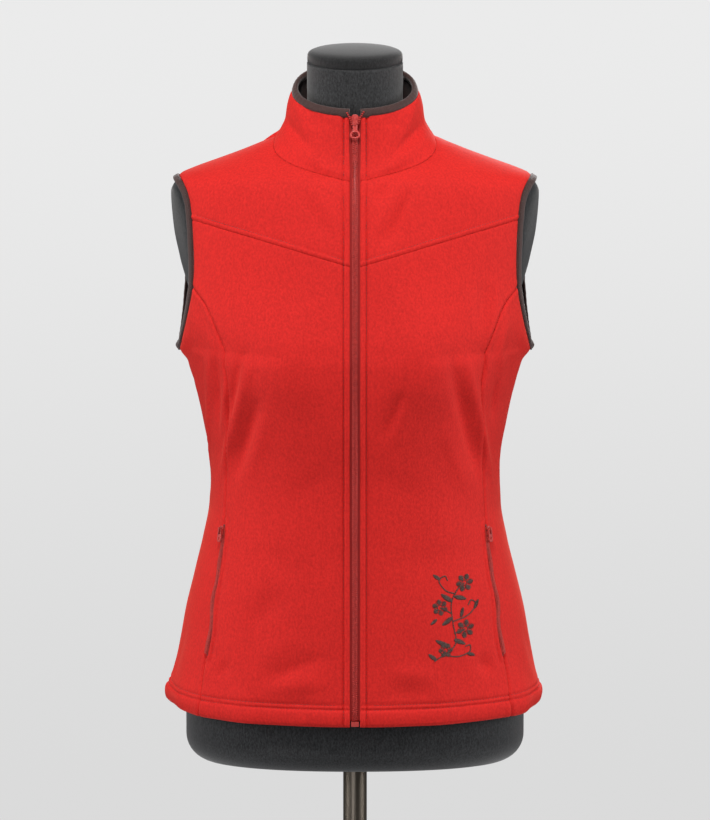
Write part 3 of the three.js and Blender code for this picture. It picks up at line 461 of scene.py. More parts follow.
# Creases: (side, three (x, z) points, half width, height). A height below nought is
# a trough. Side is 1 for the front and -1 for the back.
FOLDS = [
    (1, [(-99, 1174), (-110, 1134), (-126, 1082)], 8.5, -5.6),
    (1, [(-107, 1214), (-121, 1150), (-139, 1086)], 7, 4.4),
    (1, [(-116, 1222), (-124, 1186), (-129, 1148)], 5.5, -3.0),
    (1, [(-133, 1190), (-134, 1160), (-137, 1130)], 5.5, 2.6),
    (1, [(-142, 1212), (-142, 1172), (-142, 1136)], 5.5, -2.8),
    (1, [(-149, 1258), (-151, 1170), (-155, 1080)], 7, 2.6),
    (1, [(-91, 1158), (-99, 1120), (-112, 1078)], 10, 1.9),
    (1, [(99, 1218), (110, 1156), (129, 1082)], 8.5, -5.8),
    (1, [(115, 1212), (126, 1150), (142, 1080)], 7, 4.8),
    (1, [(135, 1224), (133, 1200), (131, 1178)], 5.5, -2.4),
    (1, [(157, 1258), (153, 1224), (151, 1190)], 7, 2.8),
    (1, [(147, 1192), (145, 1168), (142, 1146)], 6, -3.2),
    (1, [(90, 1146), (100, 1110), (116, 1074)], 9, 1.8),
    (1, [(135, 1290), (131, 1266), (126, 1242)], 8, -2.0),
    (1, [(150, 1288), (143, 1256), (136, 1222)], 7, 2.0),
    (1, [(49, 1180), (40, 1156), (28, 1128)], 7, -3.2),
    (1, [(59, 1184), (48, 1154), (38, 1122)], 8, 1.5),
    (1, [(60, 1392), (46, 1362), (26, 1324)], 7, -4.4),
    (1, [(34, 1396), (29, 1384), (22, 1370)], 6, -2.4),
    (1, [(52, 1392), (38, 1364), (20, 1336)], 6, 1.6),
    (1, [(70, 1404), (58, 1374), (44, 1340)], 9, 1.6),
    (1, [(82, 1398), (82, 1366), (84, 1338)], 7, -1.1),
    (1, [(-62, 1396), (-46, 1370), (-27, 1335)], 7, -2.8),
    (1, [(-42, 1390), (-32, 1368), (-20, 1342)], 7, 1.5),
    (1, [(-118, 1398), (-112, 1372), (-108, 1345)], 9, -0.7),
    (1, [(112, 1398), (108, 1370), (104, 1348)], 10, -0.7),
    (1, [(-86, 1428), (-78, 1411), (-54, 1395)], 7, -2.6),
    (1, [(86, 1428), (78, 1411), (52, 1395)], 7, -2.8),
    (1, [(-28, 907), (-58, 898), (-92, 882)], 8, -2.2),
    (1, [(-54, 928), (-78, 918), (-98, 900)], 10, 1.4),
    (1, [(-30, 879), (-60, 880), (-92, 870)], 9, 2.6),
    (1, [(-44, 860), (-58, 858), (-74, 856)], 6, -0.6),
    (1, [(-70, 970), (-92, 954), (-112, 932)], 14, -2.6),
    (1, [(-129, 896), (-137, 889), (-142, 880)], 8, -2.0),
    (1, [(34, 889), (58, 889), (82, 887)], 9, 2.2),
    (1, [(28, 869), (54, 869), (82, 869)], 7, -1.0),
    (1, [(126, 902), (135, 895), (141, 886)], 8, -3.0),
    (1, [(-104, 1018), (-84, 1000), (-52, 990)], 15, -1.3),
    (1, [(104, 1010), (84, 1000), (50, 996)], 15, -1.2),
    (1, [(-22, 1100), (-40, 1082), (-70, 1072)], 13, -1.0),
    (1, [(24, 1096), (44, 1078), (78, 1068)], 13, -1.0),
    (1, [(-166, 1272), (-150, 1240), (-128, 1212)], 8, -1.6),
    (-1, [(-120, 1330), (-104, 1270), (-96, 1200)], 15, -3.3),
    (-1, [(118, 1336), (102, 1268), (94, 1196)], 15, -3.6),
    (-1, [(-150, 1240), (-120, 1200), (-88, 1170)], 11, -2.7),
    (-1, [(148, 1236), (122, 1196), (84, 1164)], 11, -2.8),
    (-1, [(-110, 1118), (-60, 1088), (-6, 1094)], 12, -3.6),
    (-1, [(106, 1122), (66, 1082), (12, 1080)], 12, -3.3),
    (-1, [(-96, 1078), (-44, 1056), (10, 1062)], 10, 2.8),
    (-1, [(90, 1052), (48, 1040), (4, 1036)], 12, -2.8),
    (-1, [(-86, 1034), (-50, 1022), (-20, 1018)], 12, -1.8),
    (-1, [(-60, 1400), (-36, 1372), (-4, 1362)], 12, -1.8),
    (-1, [(62, 1398), (34, 1374), (2, 1366)], 12, -2.0),
    (-1, [(-24, 1300), (-30, 1240), (-22, 1180)], 18, -1.8),
    (-1, [(-118, 930), (-100, 900), (-70, 872)], 14, -2.7),
    (-1, [(40, 940), (52, 902), (48, 866)], 14, -2.4),
    (-1, [(122, 944), (112, 908), (92, 874)], 13, 2.4),
]
# The same on the flanks: (y, z) points, and side is 1 for the wearer's left
FLANK_FOLDS = [
    (1, [(-26, 1150), (-4, 1104), (10, 1060)], 10, -2.0),
    (1, [(34, 1140), (22, 1096), (14, 1056)], 10, 1.5),
    (1, [(-20, 1196), (0, 1176), (26, 1160)], 8, -1.3),
    (1, [(-40, 930), (-26, 900), (-18, 870)], 12, -1.4),
    (1, [(30, 960), (22, 920), (24, 872)], 14, -1.6),
    (-1, [(-24, 1144), (-6, 1100), (6, 1058)], 10, -1.8),
    (-1, [(36, 1148), (20, 1104), (16, 1062)], 10, 1.5),
    (-1, [(-22, 1198), (2, 1178), (22, 1156)], 8, -1.5),
    (-1, [(-38, 936), (-28, 906), (-16, 872)], 12, -1.5),
    (-1, [(28, 952), (26, 914), (20, 876)], 14, -1.4),
]


def bowed(points, count=28):
    """A parabola through the first and last points, pulled halfway to the middle one."""
    a, b, c = (np.array(point, float) for point in points)
    t = np.linspace(0, 1, count)[:, None]
    return a * (1 - t) ** 2 + 2 * b * t * (1 - t) + c * t * t


def fold_paths():
    """Each crease's path on the body, with its half width and its height."""
    paths = []
    for side, points, width, height in FOLDS:
        flat = bowed(points)
        angle = angle_at(np.abs(flat[:, 0]), flat[:, 1]) * np.sign(flat[:, 0])
        if side < 0:
            angle = math.pi - angle
        paths.append((body_point(angle, flat[:, 1]), width, height))
    for side, points, width, height in FLANK_FOLDS:
        flat = bowed(points)
        z = flat[:, 1]
        depth = np.where(flat[:, 0] < VEST_SIDE(z), VEST_FRONT(z), VEST_BACK(z))
        off = np.clip((VEST_SIDE(z) - flat[:, 0]) / depth, -1, 1)
        angle = np.arccos(signed_power(off, 1 / ROUNDNESS))
        paths.append((body_point(side * angle, z), width, height))
    return paths


FOLD_PATHS = fold_paths()


def folds_at(points):
    """Each crease is a bell across its path, fading to nothing at both ends."""
    total = np.zeros(points.shape[:-1])
    for path, width, height in FOLD_PATHS:
        low, high = path.min(axis=0) - 3 * width, path.max(axis=0) + 3 * width
        near = np.all((points > low) & (points < high), axis=-1)
        if not near.any():
            continue
        gap, share = distance_to(points[near], path)
        fade = np.sin(math.pi * np.clip(share, 0.02, 0.98)) ** 0.7
        total[near] += height * fade * np.exp(-(gap / width) ** 2)
    return total


def waves_at(points):
    """Slow unevenness of hanging cloth: three crossed sines, under half a millimetre each."""
    x, y, z = points[..., 0], points[..., 1], points[..., 2]
    slow = np.sin(x / 31 + 1.3) * np.sin(z / 47 + 0.4)
    middle = np.sin((x + y) / 17 + 2.1) * np.sin(z / 23 + x / 60)
    small = np.sin(x / 9.3 + z / 38) * np.sin(z / 13.1 - y / 21)
    return 0.42 * slow + 0.25 * middle + 0.12 * small


def hem_wave(angle, z):
    """The hem swings in and out a little, most at its edge: three sines round the body."""
    swing = np.sin(7 * angle + 0.7) + 0.7 * np.sin(12 * angle + 2.0) + 0.4 * np.sin(19 * angle)
    return 1.5 * swing * (1 - smoothstep(z, 838, 905))


# The half width without the two rows that make the ledge under the arm
LEDGE = (1203, 1218)
SMOOTH_HALF = table_curve([row for row in VEST_SECTIONS if row[0] not in LEDGE], 1)
BINOMIAL = (1, 4, 6, 4, 1)
EASE_STEP = 24      # millimetres between the heights that round off the bust


def bust_ease(z):
    """What the mean of five heights, weighed 1 4 6 4 1, takes off the profile over the bust."""
    weighed = sum(weight * VEST_FRONT(z + EASE_STEP * step)
                  for step, weight in zip(range(-2, 3), BINOMIAL))
    return weighed / sum(BINOMIAL) - VEST_FRONT(z)


def ease_at(points, angle, z):
    """Away from the armhole the body narrows below it in a long slope, not in a ledge: the
    difference of the two half widths, times how far the surface faces sideways. In front,
    beside the zip, the profile of the bust is rounded off in the same way."""
    normal = body_normal(angle, z)
    sideways = np.abs(normal[..., 0])
    frontal = np.clip(-normal[..., 1], 0, 1) * smoothstep(np.abs(points[..., 0]), 16, 52)
    band = smoothstep(z, 1060, 1110) * (1 - smoothstep(z, 1300, 1350))
    half = points.copy()
    half[..., 0] = np.abs(half[..., 0])
    clear = smoothstep(distance_to(half, SEAM_PATHS["armhole"])[0], 4, 22)
    below = smoothstep(np.abs(angle - QUARTER * np.sign(angle)) * RADIAN, 0, 30)
    flank = (SMOOTH_HALF(z) - VEST_HALF(z)) * sideways * clear * below
    return flank + bust_ease(z) * frontal * band


SEAM_PATHS = {
    "princess": on_body(PRINCESS_LINE), "yoke": on_body(YOKE_LINE),
    "side": on_body(SIDE_LINE), "armhole": on_body(ARMHOLE_LOOP),
    "neck": on_body(np.concatenate([FRONT_NECK, BACK_NECK[::-1][1:]])),
    "shoulder": on_body(SHOULDER_LINE),
    "pocket": on_body(PRINCESS_LINE[(PRINCESS_LINE[:, 1] > POCKET["low"] - 3)
                                    & (PRINCESS_LINE[:, 1] < POCKET["high"] + 3)]),
}
HEM_STITCHES = (17.5, 22.5)    # heights of the twin topstitch above the hem's edge
ZIP_STITCH = 11.6              # the topstitch from the zip's middle
ZIP_ROLL = 8.6                 # the soft roll between the zip and its topstitch
YOKE_STITCH = 5.6              # the topstitch above the yoke seam
POCKET_STITCH = 8.5            # the topstitch beside the pocket zips
STITCH_DIP = 1.0               # how far a row of stitches draws the cloth in
# How deep and wide a seam sinks, and the height and distance of the roll beside it
SEAM_SHAPES = {"princess": (1.2, 1.4, 0.5, 4.2), "side": (1.0, 1.5, 0.4, 4.2),
               "shoulder": (0.8, 1.5, 0.3, 4)}


def dip(gap, at, width=1.3):
    """A bell of height one around a distance."""
    return np.exp(-((gap - at) / width) ** 2)


def seams_at(points, angle, z, above_yoke):
    """Where cloth is sewn it sinks to the seam line, rolls up beside it, and is drawn in along
    its rows of topstitching. The left half's seams serve both halves."""
    half = points.copy()
    half[..., 0] = np.abs(half[..., 0])
    total = np.zeros(z.shape)
    gaps = {name: distance_to(half, path)[0] for name, path in SEAM_PATHS.items()}
    for name, (depth, width, roll, beside_it) in SEAM_SHAPES.items():
        total -= depth * dip(gaps[name], 0, width) - roll * dip(gaps[name], beside_it, 2.3)
    total -= 0.6 * dip(gaps["neck"], 0, 2.4)
    total -= 1.0 * dip(gaps["armhole"], 0, 3.2)
    front = np.cos(angle) > 0
    yoke = gaps["yoke"]
    total -= np.where(front, 0.5 * dip(yoke, 0, 1.5), 0)
    total += np.where(front & above_yoke, 0.8 * dip(yoke, 3, 2), 0)
    total -= np.where(front & above_yoke, 0.4 * dip(yoke, YOKE_STITCH, 1.5), 0)
    reach = half[..., 0]
    total += np.where(front, 0.4 * dip(reach, ZIP_ROLL, 1.9) - 1.1 * dip(reach, ZIP_EDGE, 1.3), 0)
    total -= np.where(front, 2.0 * dip(reach, ZIP_STITCH, 1.15) + 0.3 * dip(reach, 13.5, 4), 0)
    rise = z - hem_z(angle)
    total += 1.7 * np.sin(math.pi * np.clip(rise / HEM_STITCHES[0], 0, 1)) ** 0.8
    total -= 0.9 * (1 - smoothstep(rise, 0, 3.2))
    for height in HEM_STITCHES:
        total -= STITCH_DIP * dip(rise, height)
    inner_side = front & (reach < PRINCESS_X(z))
    pocket = gaps["pocket"]
    total -= 1.1 * dip(pocket, 0, 1.8)
    total -= np.where(inner_side, STITCH_DIP * dip(pocket, POCKET_STITCH), 0)
    total += np.where(inner_side, 0.35 * dip(pocket, 5, 2), 0)
    return total


# ---------- meshes ----------

def put_mesh(name, points, faces, material, flat=None):
    """A mesh object from points in millimetres and a list of face arrays, each of one width.
    A closed mesh that is inside out is turned the right way. The block numbered flat is shaded
    flat, as a cut edge is, so that it doesn't tilt the light on the faces beside it."""
    points = np.asarray(points, float).reshape(-1, 3) * MM
    faces = [np.asarray(block, int) for block in faces if len(block)]
    volume = 0.0
    for block in faces:
        for k in range(1, block.shape[1] - 1):
            a, b, c = (points[block[:, i]] for i in (0, k, k + 1))
            volume += np.einsum("ij,ij->i", a, np.cross(b, c)).sum()
    if volume < 0:
        faces = [block[:, ::-1] for block in faces]
    mesh = bpy.data.meshes.new(name)
    sizes = np.concatenate([np.full(len(block), block.shape[1]) for block in faces])
    corners = np.concatenate([block.ravel() for block in faces])
    mesh.vertices.add(len(points))
    mesh.vertices.foreach_set("co", points.ravel())
    mesh.loops.add(len(corners))
    mesh.loops.foreach_set("vertex_index", corners)
    mesh.polygons.add(len(sizes))
    mesh.polygons.foreach_set("loop_start", np.concatenate([[0], np.cumsum(sizes)[:-1]]))
    mesh.polygons.foreach_set("loop_total", sizes)
    smooth = np.concatenate([np.full(len(block), k != flat) for k, block in enumerate(faces)])
    mesh.polygons.foreach_set("use_smooth", smooth)
    mesh.update(calc_edges=True)
    mesh.validate()
    mesh.materials.append(material)
    piece = bpy.data.objects.new(name, mesh)
    bpy.context.scene.collection.objects.link(piece)
    return piece


def grid_faces(rows, columns, start=0, wrap=False):
    """Quads of a grid of rows by columns; wrap joins the last column to the first."""
    across = columns if wrap else columns - 1
    row, column = np.meshgrid(np.arange(rows - 1), np.arange(across), indexing="ij")
    row, column = row.ravel(), column.ravel()
    beside = (column + 1) % columns
    quads = np.stack([row * columns + column, row * columns + beside,
                      (row + 1) * columns + beside, (row + 1) * columns + column], axis=1)
    return quads + start


RIM = 2     # number of the block that holds a shell's rim


def shell(outer, inner):
    """Points and faces of a closed wall between two grids of equal size."""
    rows, columns = outer.shape[:2]
    count = rows * columns
    index = np.arange(count).reshape(rows, columns)
    rim = np.concatenate([index[0, :-1], index[:-1, -1], index[-1, :0:-1], index[:0:-1, 0]])
    after = np.roll(rim, -1)
    front = grid_faces(rows, columns)
    back = grid_faces(rows, columns, count)[:, ::-1]
    edge = np.stack([rim, rim + count, after + count, after], axis=1)
    points = np.concatenate([outer.reshape(-1, 3), inner.reshape(-1, 3)])
    return points, [front, back, edge]


def tube(rings, closed):
    """Points and faces of a tube through rings (rings, around, 3). Its ends are capped, or joined
    to each other where it is closed."""
    count, around = rings.shape[:2]
    faces = [grid_faces(count, around, 0, True)]
    if closed:
        last, first = (count - 1) * around + np.arange(around), np.arange(around)
        faces.append(np.stack([last, np.roll(last, -1), np.roll(first, -1), first], axis=1))
        return rings.reshape(-1, 3), faces
    points = np.concatenate([rings.reshape(-1, 3), rings[0].mean(0)[None], rings[-1].mean(0)[None]])
    first = np.arange(around)
    last = (count - 1) * around + first
    low = np.full(around, count * around)
    faces.append(np.stack([low, np.roll(first, -1), first], axis=1))
    faces.append(np.stack([low + 1, last, np.roll(last, -1)], axis=1))
    return points, faces


SIDES = ("left", 1), ("right", -1)     # the wearer's, with the sign of x


def mirrored(points, side):
    """Points of the wearer's left piece for side 1, and of the right one for side -1."""
    return points * np.array([side, 1, 1])


def finish_piece(piece, nodes=(), body=ROOT_BODY):
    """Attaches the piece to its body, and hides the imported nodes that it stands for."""
    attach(piece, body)
    if nodes:
        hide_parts(*nodes)


# ---------- materials ----------

def colour(code):
    """A #RRGGBB value as linear red, green, blue and alpha."""
    parts = [int(code[i:i + 2], 16) / 255 for i in (1, 3, 5)]
    return (*[p / 12.92 if p <= 0.04045 else ((p + 0.055) / 1.055) ** 2.4 for p in parts], 1)


def dimmed(tone, share):
    """A tone with its red, green and blue reduced to a share of themselves."""
    return (*[share * part for part in tone[:3]], 1)


def add(tree, kind, values=None, links=None, **settings):
    """A node with its own settings, its sockets' values, and the sockets that feed it."""
    made = tree.nodes.new(kind)
    for key, value in settings.items():
        setattr(made, key, value)
    for key, value in (values or {}).items():
        made.inputs[key].default_value = value
    for key, source in (links or {}).items():
        tree.links.new(source, made.inputs[key])
    return made


def new_material(name, values=None):
    """A material with one principled shader and its sockets' values."""
    material = bpy.data.materials.new(name)
    material.use_nodes = True
    tree = material.node_tree
    tree.nodes.clear()
    shader = add(tree, "ShaderNodeBsdfPrincipled", values)
    add(tree, "ShaderNodeOutputMaterial", links={"Surface": shader.outputs[0]})
    return material, tree, shader


def stretched(tree, scale=(1, 1, 1)):
    """Object coordinates of the piece, scaled along each axis."""
    place = add(tree, "ShaderNodeTexCoord")
    mapping = add(tree, "ShaderNodeMapping", {"Scale": scale}, {"Vector": place.outputs["Object"]})
    return mapping.outputs[0]


def tinted(tree, shader, factor, dark, light, spread=(0.3, 0.7)):
    """The base colour runs from dark to light as the factor does."""
    ramp = add(tree, "ShaderNodeValToRGB", links={"Fac": factor})
    for element, place, tone in zip(ramp.color_ramp.elements, spread, (dark, light)):
        element.position, element.color = place, tuple(tone)
    tree.links.new(ramp.outputs["Color"], shader.inputs["Base Color"])


def bumped(tree, shader, height, strength, distance_mm):
    """Fine relief of the surface, whose full height is the distance."""
    bump = add(tree, "ShaderNodeBump", {"Strength": strength, "Distance": distance_mm * MM},
               {"Height": height})
    tree.links.new(bump.outputs[0], shader.inputs["Normal"])


def make_fleece(props):
    """Brushed polyester fleece, anti-pill: matt, with a short pebbled nap that catches light on
    its rims, and faint upright streaks from the knitting under it."""
    material, tree, shader = new_material("brushed_polyester_fleece", {
        "Roughness": 0.8, "Specular IOR Level": 0.22, "Sheen Weight": 0.22, "Sheen Roughness": 0.4,
        "Sheen Tint": colour("#FF7E66")})
    nap_mm, streak_mm = 1.9, 3.2
    nap = add(tree, "ShaderNodeTexNoise", {"Scale": 1, "Detail": 4, "Roughness": 0.62},
              {"Vector": stretched(tree, (1000 / nap_mm, 1000 / nap_mm, 620 / nap_mm))})
    streak = add(tree, "ShaderNodeTexNoise", {"Scale": 1, "Detail": 2},
                 {"Vector": stretched(tree, (1000 / streak_mm, 1000 / streak_mm, 60 / streak_mm))})
    cloud = add(tree, "ShaderNodeTexNoise", {"Scale": 9, "Detail": 2},
                {"Vector": stretched(tree)})
    mixed = add(tree, "ShaderNodeMath", {1: 0.72}, {0: nap.outputs[0]}, operation="MULTIPLY")
    mixed = add(tree, "ShaderNodeMath", {1: 0.12}, {0: streak.outputs[0], 2: mixed.outputs[0]},
                operation="MULTIPLY_ADD")
    mixed = add(tree, "ShaderNodeMath", {1: 0.16}, {0: cloud.outputs[0], 2: mixed.outputs[0]},
                operation="MULTIPLY_ADD")
    tinted(tree, shader, mixed.outputs[0], props.shade, props.tone, (0.34, 0.62))
    bumped(tree, shader, nap.outputs[0], 0.55, 0.5)
    return material


def make_binding(props):
    """Knitted polyester binding tape: dark, smooth and close, with fine cross ribs and a dull
    shine along its fold."""
    material, tree, shader = new_material("knitted_binding_tape", {
        "Roughness": 0.72, "Specular IOR Level": 0.3, "Sheen Weight": 0.35,
        "Sheen Roughness": 0.4})
    rib_mm = 0.9
    grain = add(tree, "ShaderNodeTexNoise", {"Scale": 1000 / rib_mm, "Detail": 3},
                {"Vector": stretched(tree)})
    tinted(tree, shader, grain.outputs[0], props.shade, props.tone)
    bumped(tree, shader, grain.outputs[0], 0.4, 0.25)
    return material


def make_woven(name, dark, light, thread_mm, roughness):
    """Woven polyester, such as zip tape: threads over and under each other, nearly matt."""
    material, tree, shader = new_material(name, {
        "Roughness": roughness, "Specular IOR Level": 0.3})
    scale = 1000 / thread_mm / 2
    across = add(tree, "ShaderNodeTexWave", {"Scale": scale / 3.14, "Distortion": 0.4},
                 {"Vector": stretched(tree)}, bands_direction="X")
    upright = add(tree, "ShaderNodeTexWave", {"Scale": scale / 3.14, "Distortion": 0.4},
                  {"Vector": stretched(tree)}, bands_direction="Z")
    weave = add(tree, "ShaderNodeMath", None, {0: across.outputs[1], 1: upright.outputs[1]},
                operation="MULTIPLY")
    tinted(tree, shader, weave.outputs[0], dark, light, (0.1, 0.8))
    bumped(tree, shader, weave.outputs[0], 0.4, 0.2)
    return material


def make_coil(name, shade, tone):
    """Nylon monofilament of a zip's coil: smooth plastic with a soft gloss."""
    material, tree, shader = new_material(name, {
        "Roughness": 0.42, "IOR": 1.53, "Specular IOR Level": 0.3})
    grain = add(tree, "ShaderNodeTexNoise", {"Scale": 420, "Detail": 2},
                {"Vector": stretched(tree)})
    tinted(tree, shader, grain.outputs[0], shade, tone)
    return material


def make_enamel(name, shade, tone):
    """Enamelled zinc slider and pull: an even coat with a soft gloss, a little worn."""
    material, tree, shader = new_material(name, {
        "IOR": 1.5, "Coat Weight": 0.25, "Coat Roughness": 0.25})
    wear = add(tree, "ShaderNodeTexNoise", {"Scale": 260, "Detail": 4},
               {"Vector": stretched(tree)})
    tinted(tree, shader, wear.outputs[0], shade, tone)
    rough = add(tree, "ShaderNodeMapRange", {"To Min": 0.34, "To Max": 0.55},
                {"Value": wear.outputs[0]})
    tree.links.new(rough.outputs[0], shader.inputs["Roughness"])
    bumped(tree, shader, wear.outputs[0], 0.08, 0.1)
    return material


def make_thread(name, dark, light, twist_mm=0.5):
    """Trilobal polyester thread, twisted and satin. Its colour runs from the dark end to the light
    one by the wave of its turns: a painted highlight along the top of each turn, and painted shade
    between them.
    """
    material, tree, shader = new_material(name, {
        "Roughness": 0.5, "Specular IOR Level": 0.45, "Sheen Weight": 0.2})
    turn = add(tree, "ShaderNodeTexWave", {"Scale": 1000 / twist_mm / 6.28, "Distortion": 1.5},
               {"Vector": stretched(tree, (1, 0.4, 0.8))}, bands_direction="DIAGONAL")
    # Painted light: the colour is lighter on the top of each turn and darker between the turns.
    tinted(tree, shader, turn.outputs[1], dark, light, (0.15, 0.85))
    bumped(tree, shader, turn.outputs[1], 0.35, 0.12)
    return material


def make_jersey(name, shade, tone):
    """Brushed cotton jersey pulled over the form: charcoal melange, matt, with fine knit
    columns and scattered paler fibres."""
    material, tree, shader = new_material(name, {
        "Roughness": 0.9, "Specular IOR Level": 0.2, "Sheen Weight": 0.3, "Sheen Roughness": 0.5})
    fibre_mm, column_mm = 1.5, 2.1
    fibre = add(tree, "ShaderNodeTexNoise", {"Scale": 1, "Detail": 5, "Roughness": 0.7},
                {"Vector": stretched(tree, (1000 / fibre_mm, 1000 / fibre_mm, 500 / fibre_mm))})
    column = add(tree, "ShaderNodeTexNoise", {"Scale": 1, "Detail": 1},
                 {"Vector": stretched(tree, (1000 / column_mm, 1000 / column_mm, 40))})
    mixed = add(tree, "ShaderNodeMath", {1: 0.12}, {0: column.outputs[0]}, operation="MULTIPLY")
    mixed = add(tree, "ShaderNodeMath", {1: 0.88}, {0: fibre.outputs[0], 2: mixed.outputs[0]},
                operation="MULTIPLY_ADD")
    tinted(tree, shader, mixed.outputs[0], shade, tone, (0.36, 0.64))
    bumped(tree, shader, mixed.outputs[0], 0.3, 0.3)
    return material


def make_steel(name, tone, rough_low, rough_high, grain, metallic=1.0):
    """Steel tube or plate: drawn or brushed, with fine marks along its grain."""
    material, tree, shader = new_material(name, {"Metallic": metallic})
    marks = add(tree, "ShaderNodeTexNoise", {"Scale": 1, "Detail": 4},
                {"Vector": stretched(tree, grain)})
    rough = add(tree, "ShaderNodeMapRange", {"To Min": rough_low, "To Max": rough_high},
                {"Value": marks.outputs[0]})
    tree.links.new(rough.outputs[0], shader.inputs["Roughness"])
    tinted(tree, shader, marks.outputs[0], tone[0], tone[1])
    bumped(tree, shader, marks.outputs[0], 0.05, 0.05)
    return material


# ---------- cloth pieces ----------

SEAM_GAP = 0.05     # each panel's rim stops this far short of its seam line, in millimetres
# Lengths in millimetres over which the grids are fine: at the hem, a seam and the zip
FINE_HEM, FINE_SEAM, FINE_ZIP = 26, 8, 14
# Heights between which the relief calms, at the sides and in front, and how much of it goes
CALM_SIDE, CALM_FRONT, CALM_SHARE = (1330, 1372), (1385, 1415), 0.75
# Room over the form below and above these heights
ROOM_LOW, ROOM_SIDE, ROOM_FRONT, ROOM_HEIGHTS = 12, 1.6, 5.5, (1290, 1345)


def relief_at(base, angle, z):
    """Creases, waves and easing together, calmer where the cloth lies on the shoulders, and
    never deeper than the room between the cloth and the form."""
    fall = folds_at(base) + waves_at(base) + hem_wave(angle, z) + ease_at(base, angle, z)
    facing = smoothstep(np.abs(np.cos(angle)), 0.3, 0.55)
    calm = smoothstep(z, *(lerp(*ends, facing) for ends in zip(CALM_SIDE, CALM_FRONT)))
    room = lerp(ROOM_LOW, lerp(ROOM_SIDE, ROOM_FRONT, facing), smoothstep(z, *ROOM_HEIGHTS))
    return np.maximum(fall * (1 - CALM_SHARE * calm), -room)


def cloth_surfaces(places, above_yoke):
    """The outer and the inner face over a grid of places: both follow the relief, and the outer
    one also sinks and rolls along the seams."""
    angle, z = places[..., 0], places[..., 1]
    base, normal = on_body(places), body_normal(angle, z)
    fall = relief_at(base, angle, z)
    outer = base + normal * (fall + seams_at(base, angle, z, above_yoke))[..., None]
    inner = base + normal * (fall - FLEECE)[..., None]
    return pull_in(outer), pull_in(inner)


def pull_in(grid):
    """The rim moves in by the seam gap, towards the next row of the grid."""
    grid = grid.copy()
    for here, beside in ((np.s_[0], np.s_[1]), (np.s_[-1], np.s_[-2])):
        grid[here] += unit(grid[beside] - grid[here]) * SEAM_GAP
        grid[:, here] += unit(grid[:, beside] - grid[:, here]) * SEAM_GAP
    return grid


def make_cloth(name, places, material, above_yoke=False):
    """A panel over its places: two faces and a rim."""
    outer, inner = cloth_surfaces(places, above_yoke)
    points, faces = shell(outer, inner)
    return put_mesh(name, points, faces, material, RIM)


def flip(places):
    """The same places on the wearer's right."""
    return places * np.array([-1.0, 1.0])


def front_panel_places():
    """Fills the zip's edge, princess seam and armhole, hem and yoke seam."""
    zips = zip_line(float(hem_z(zip_angle(HEM["side"] - HEM["front_drop"]))), YOKE_SEAM["centre"])
    low = spaced(length_of(PRINCESS_LINE), FINE_HEM, 0)
    high = spaced(length_of(ARM_TO_YOKE), 0, FINE_SEAM)
    v = chain_shares([PRINCESS_LINE, ARM_TO_YOKE], [low, high])
    u = spaced(length_of(YOKE_LINE), FINE_ZIP, FINE_SEAM + 3)
    hem = hem_line(float(zips[0, 0]), float(PRINCESS_LINE[0, 0]))
    return fill(at_shares(zips, v), chain([PRINCESS_LINE, ARM_TO_YOKE], [low, high]),
                at_shares(hem, u), at_shares(YOKE_LINE, u), v, u)


def front_yoke_places():
    """Fills the zip's edge, armhole, yoke seam, and neckline with shoulder seam."""
    zips = zip_line(YOKE_SEAM["centre"], float(FRONT_NECK[0, 1]))
    neck = spaced(length_of(FRONT_NECK), FINE_ZIP, 0)
    shoulder = spaced(length_of(SHOULDER_LINE), 0, 3)
    u = chain_shares([FRONT_NECK, SHOULDER_LINE], [neck, shoulder])
    v = spaced(length_of(zips), FINE_SEAM + 2, FINE_SEAM)
    return fill(at_shares(zips, v), at_shares(YOKE_TO_TIP, v), at_shares(YOKE_LINE, u),
                chain([FRONT_NECK, SHOULDER_LINE], [neck, shoulder]), v, u)


def side_panel_places():
    """Fills the princess seam, side seam, hem and the underarm's scoop."""
    v = spaced(length_of(SIDE_LINE), FINE_HEM, 3)
    u = spaced(length_of(SCOOP_LINE), FINE_SEAM, FINE_SEAM)
    hem = hem_line(float(PRINCESS_LINE[0, 0]), QUARTER)
    return fill(at_shares(PRINCESS_LINE, v), at_shares(SIDE_LINE, v), at_shares(hem, u),
                at_shares(SCOOP_LINE, u), v, u)


def back_panel_places():
    """The left half in two heights, each filled from its own four lines, then both mirrored."""
    neck = spaced(length_of(BACK_NECK), 0, 0, 1, 3.2)
    shoulder = spaced(length_of(SHOULDER_LINE), 0, FINE_SEAM, 1, 3.2)
    u = chain_shares([BACK_NECK, SHOULDER_LINE], [neck, shoulder])
    side = spaced(length_of(SIDE_LINE), FINE_HEM, 3, 1, 3.2)
    low, high = spaced(length_of(BACK_ARM_LOW), coarse=3.2), spaced(length_of(BACK_ARM_HIGH), 0, 6)
    across = line(lerp(math.pi, float(back_arm_angle(BACK_LEVEL)), T), BACK_LEVEL)
    centre_low = line(math.pi + 0 * T, lerp(float(hem_z(math.pi)), BACK_LEVEL, T))
    centre_high = line(math.pi + 0 * T, lerp(BACK_LEVEL, NECK["back"], T))
    v = chain_shares([SIDE_LINE, BACK_ARM_LOW], [side, low])
    lower = fill(at_shares(centre_low, v), chain([SIDE_LINE, BACK_ARM_LOW], [side, low]),
                 at_shares(hem_line(math.pi, QUARTER), u), at_shares(across, u), v, u)
    upper = fill(at_shares(centre_high, high), at_shares(BACK_ARM_HIGH, high),
                 at_shares(across, u), chain([BACK_NECK, SHOULDER_LINE], [neck, shoulder]),
                 high, u)
    half = np.concatenate([lower, upper[1:]])
    other = flip(half[:, :0:-1]) + np.array([2 * math.pi, 0.0])
    return np.concatenate([other, half], axis=1)


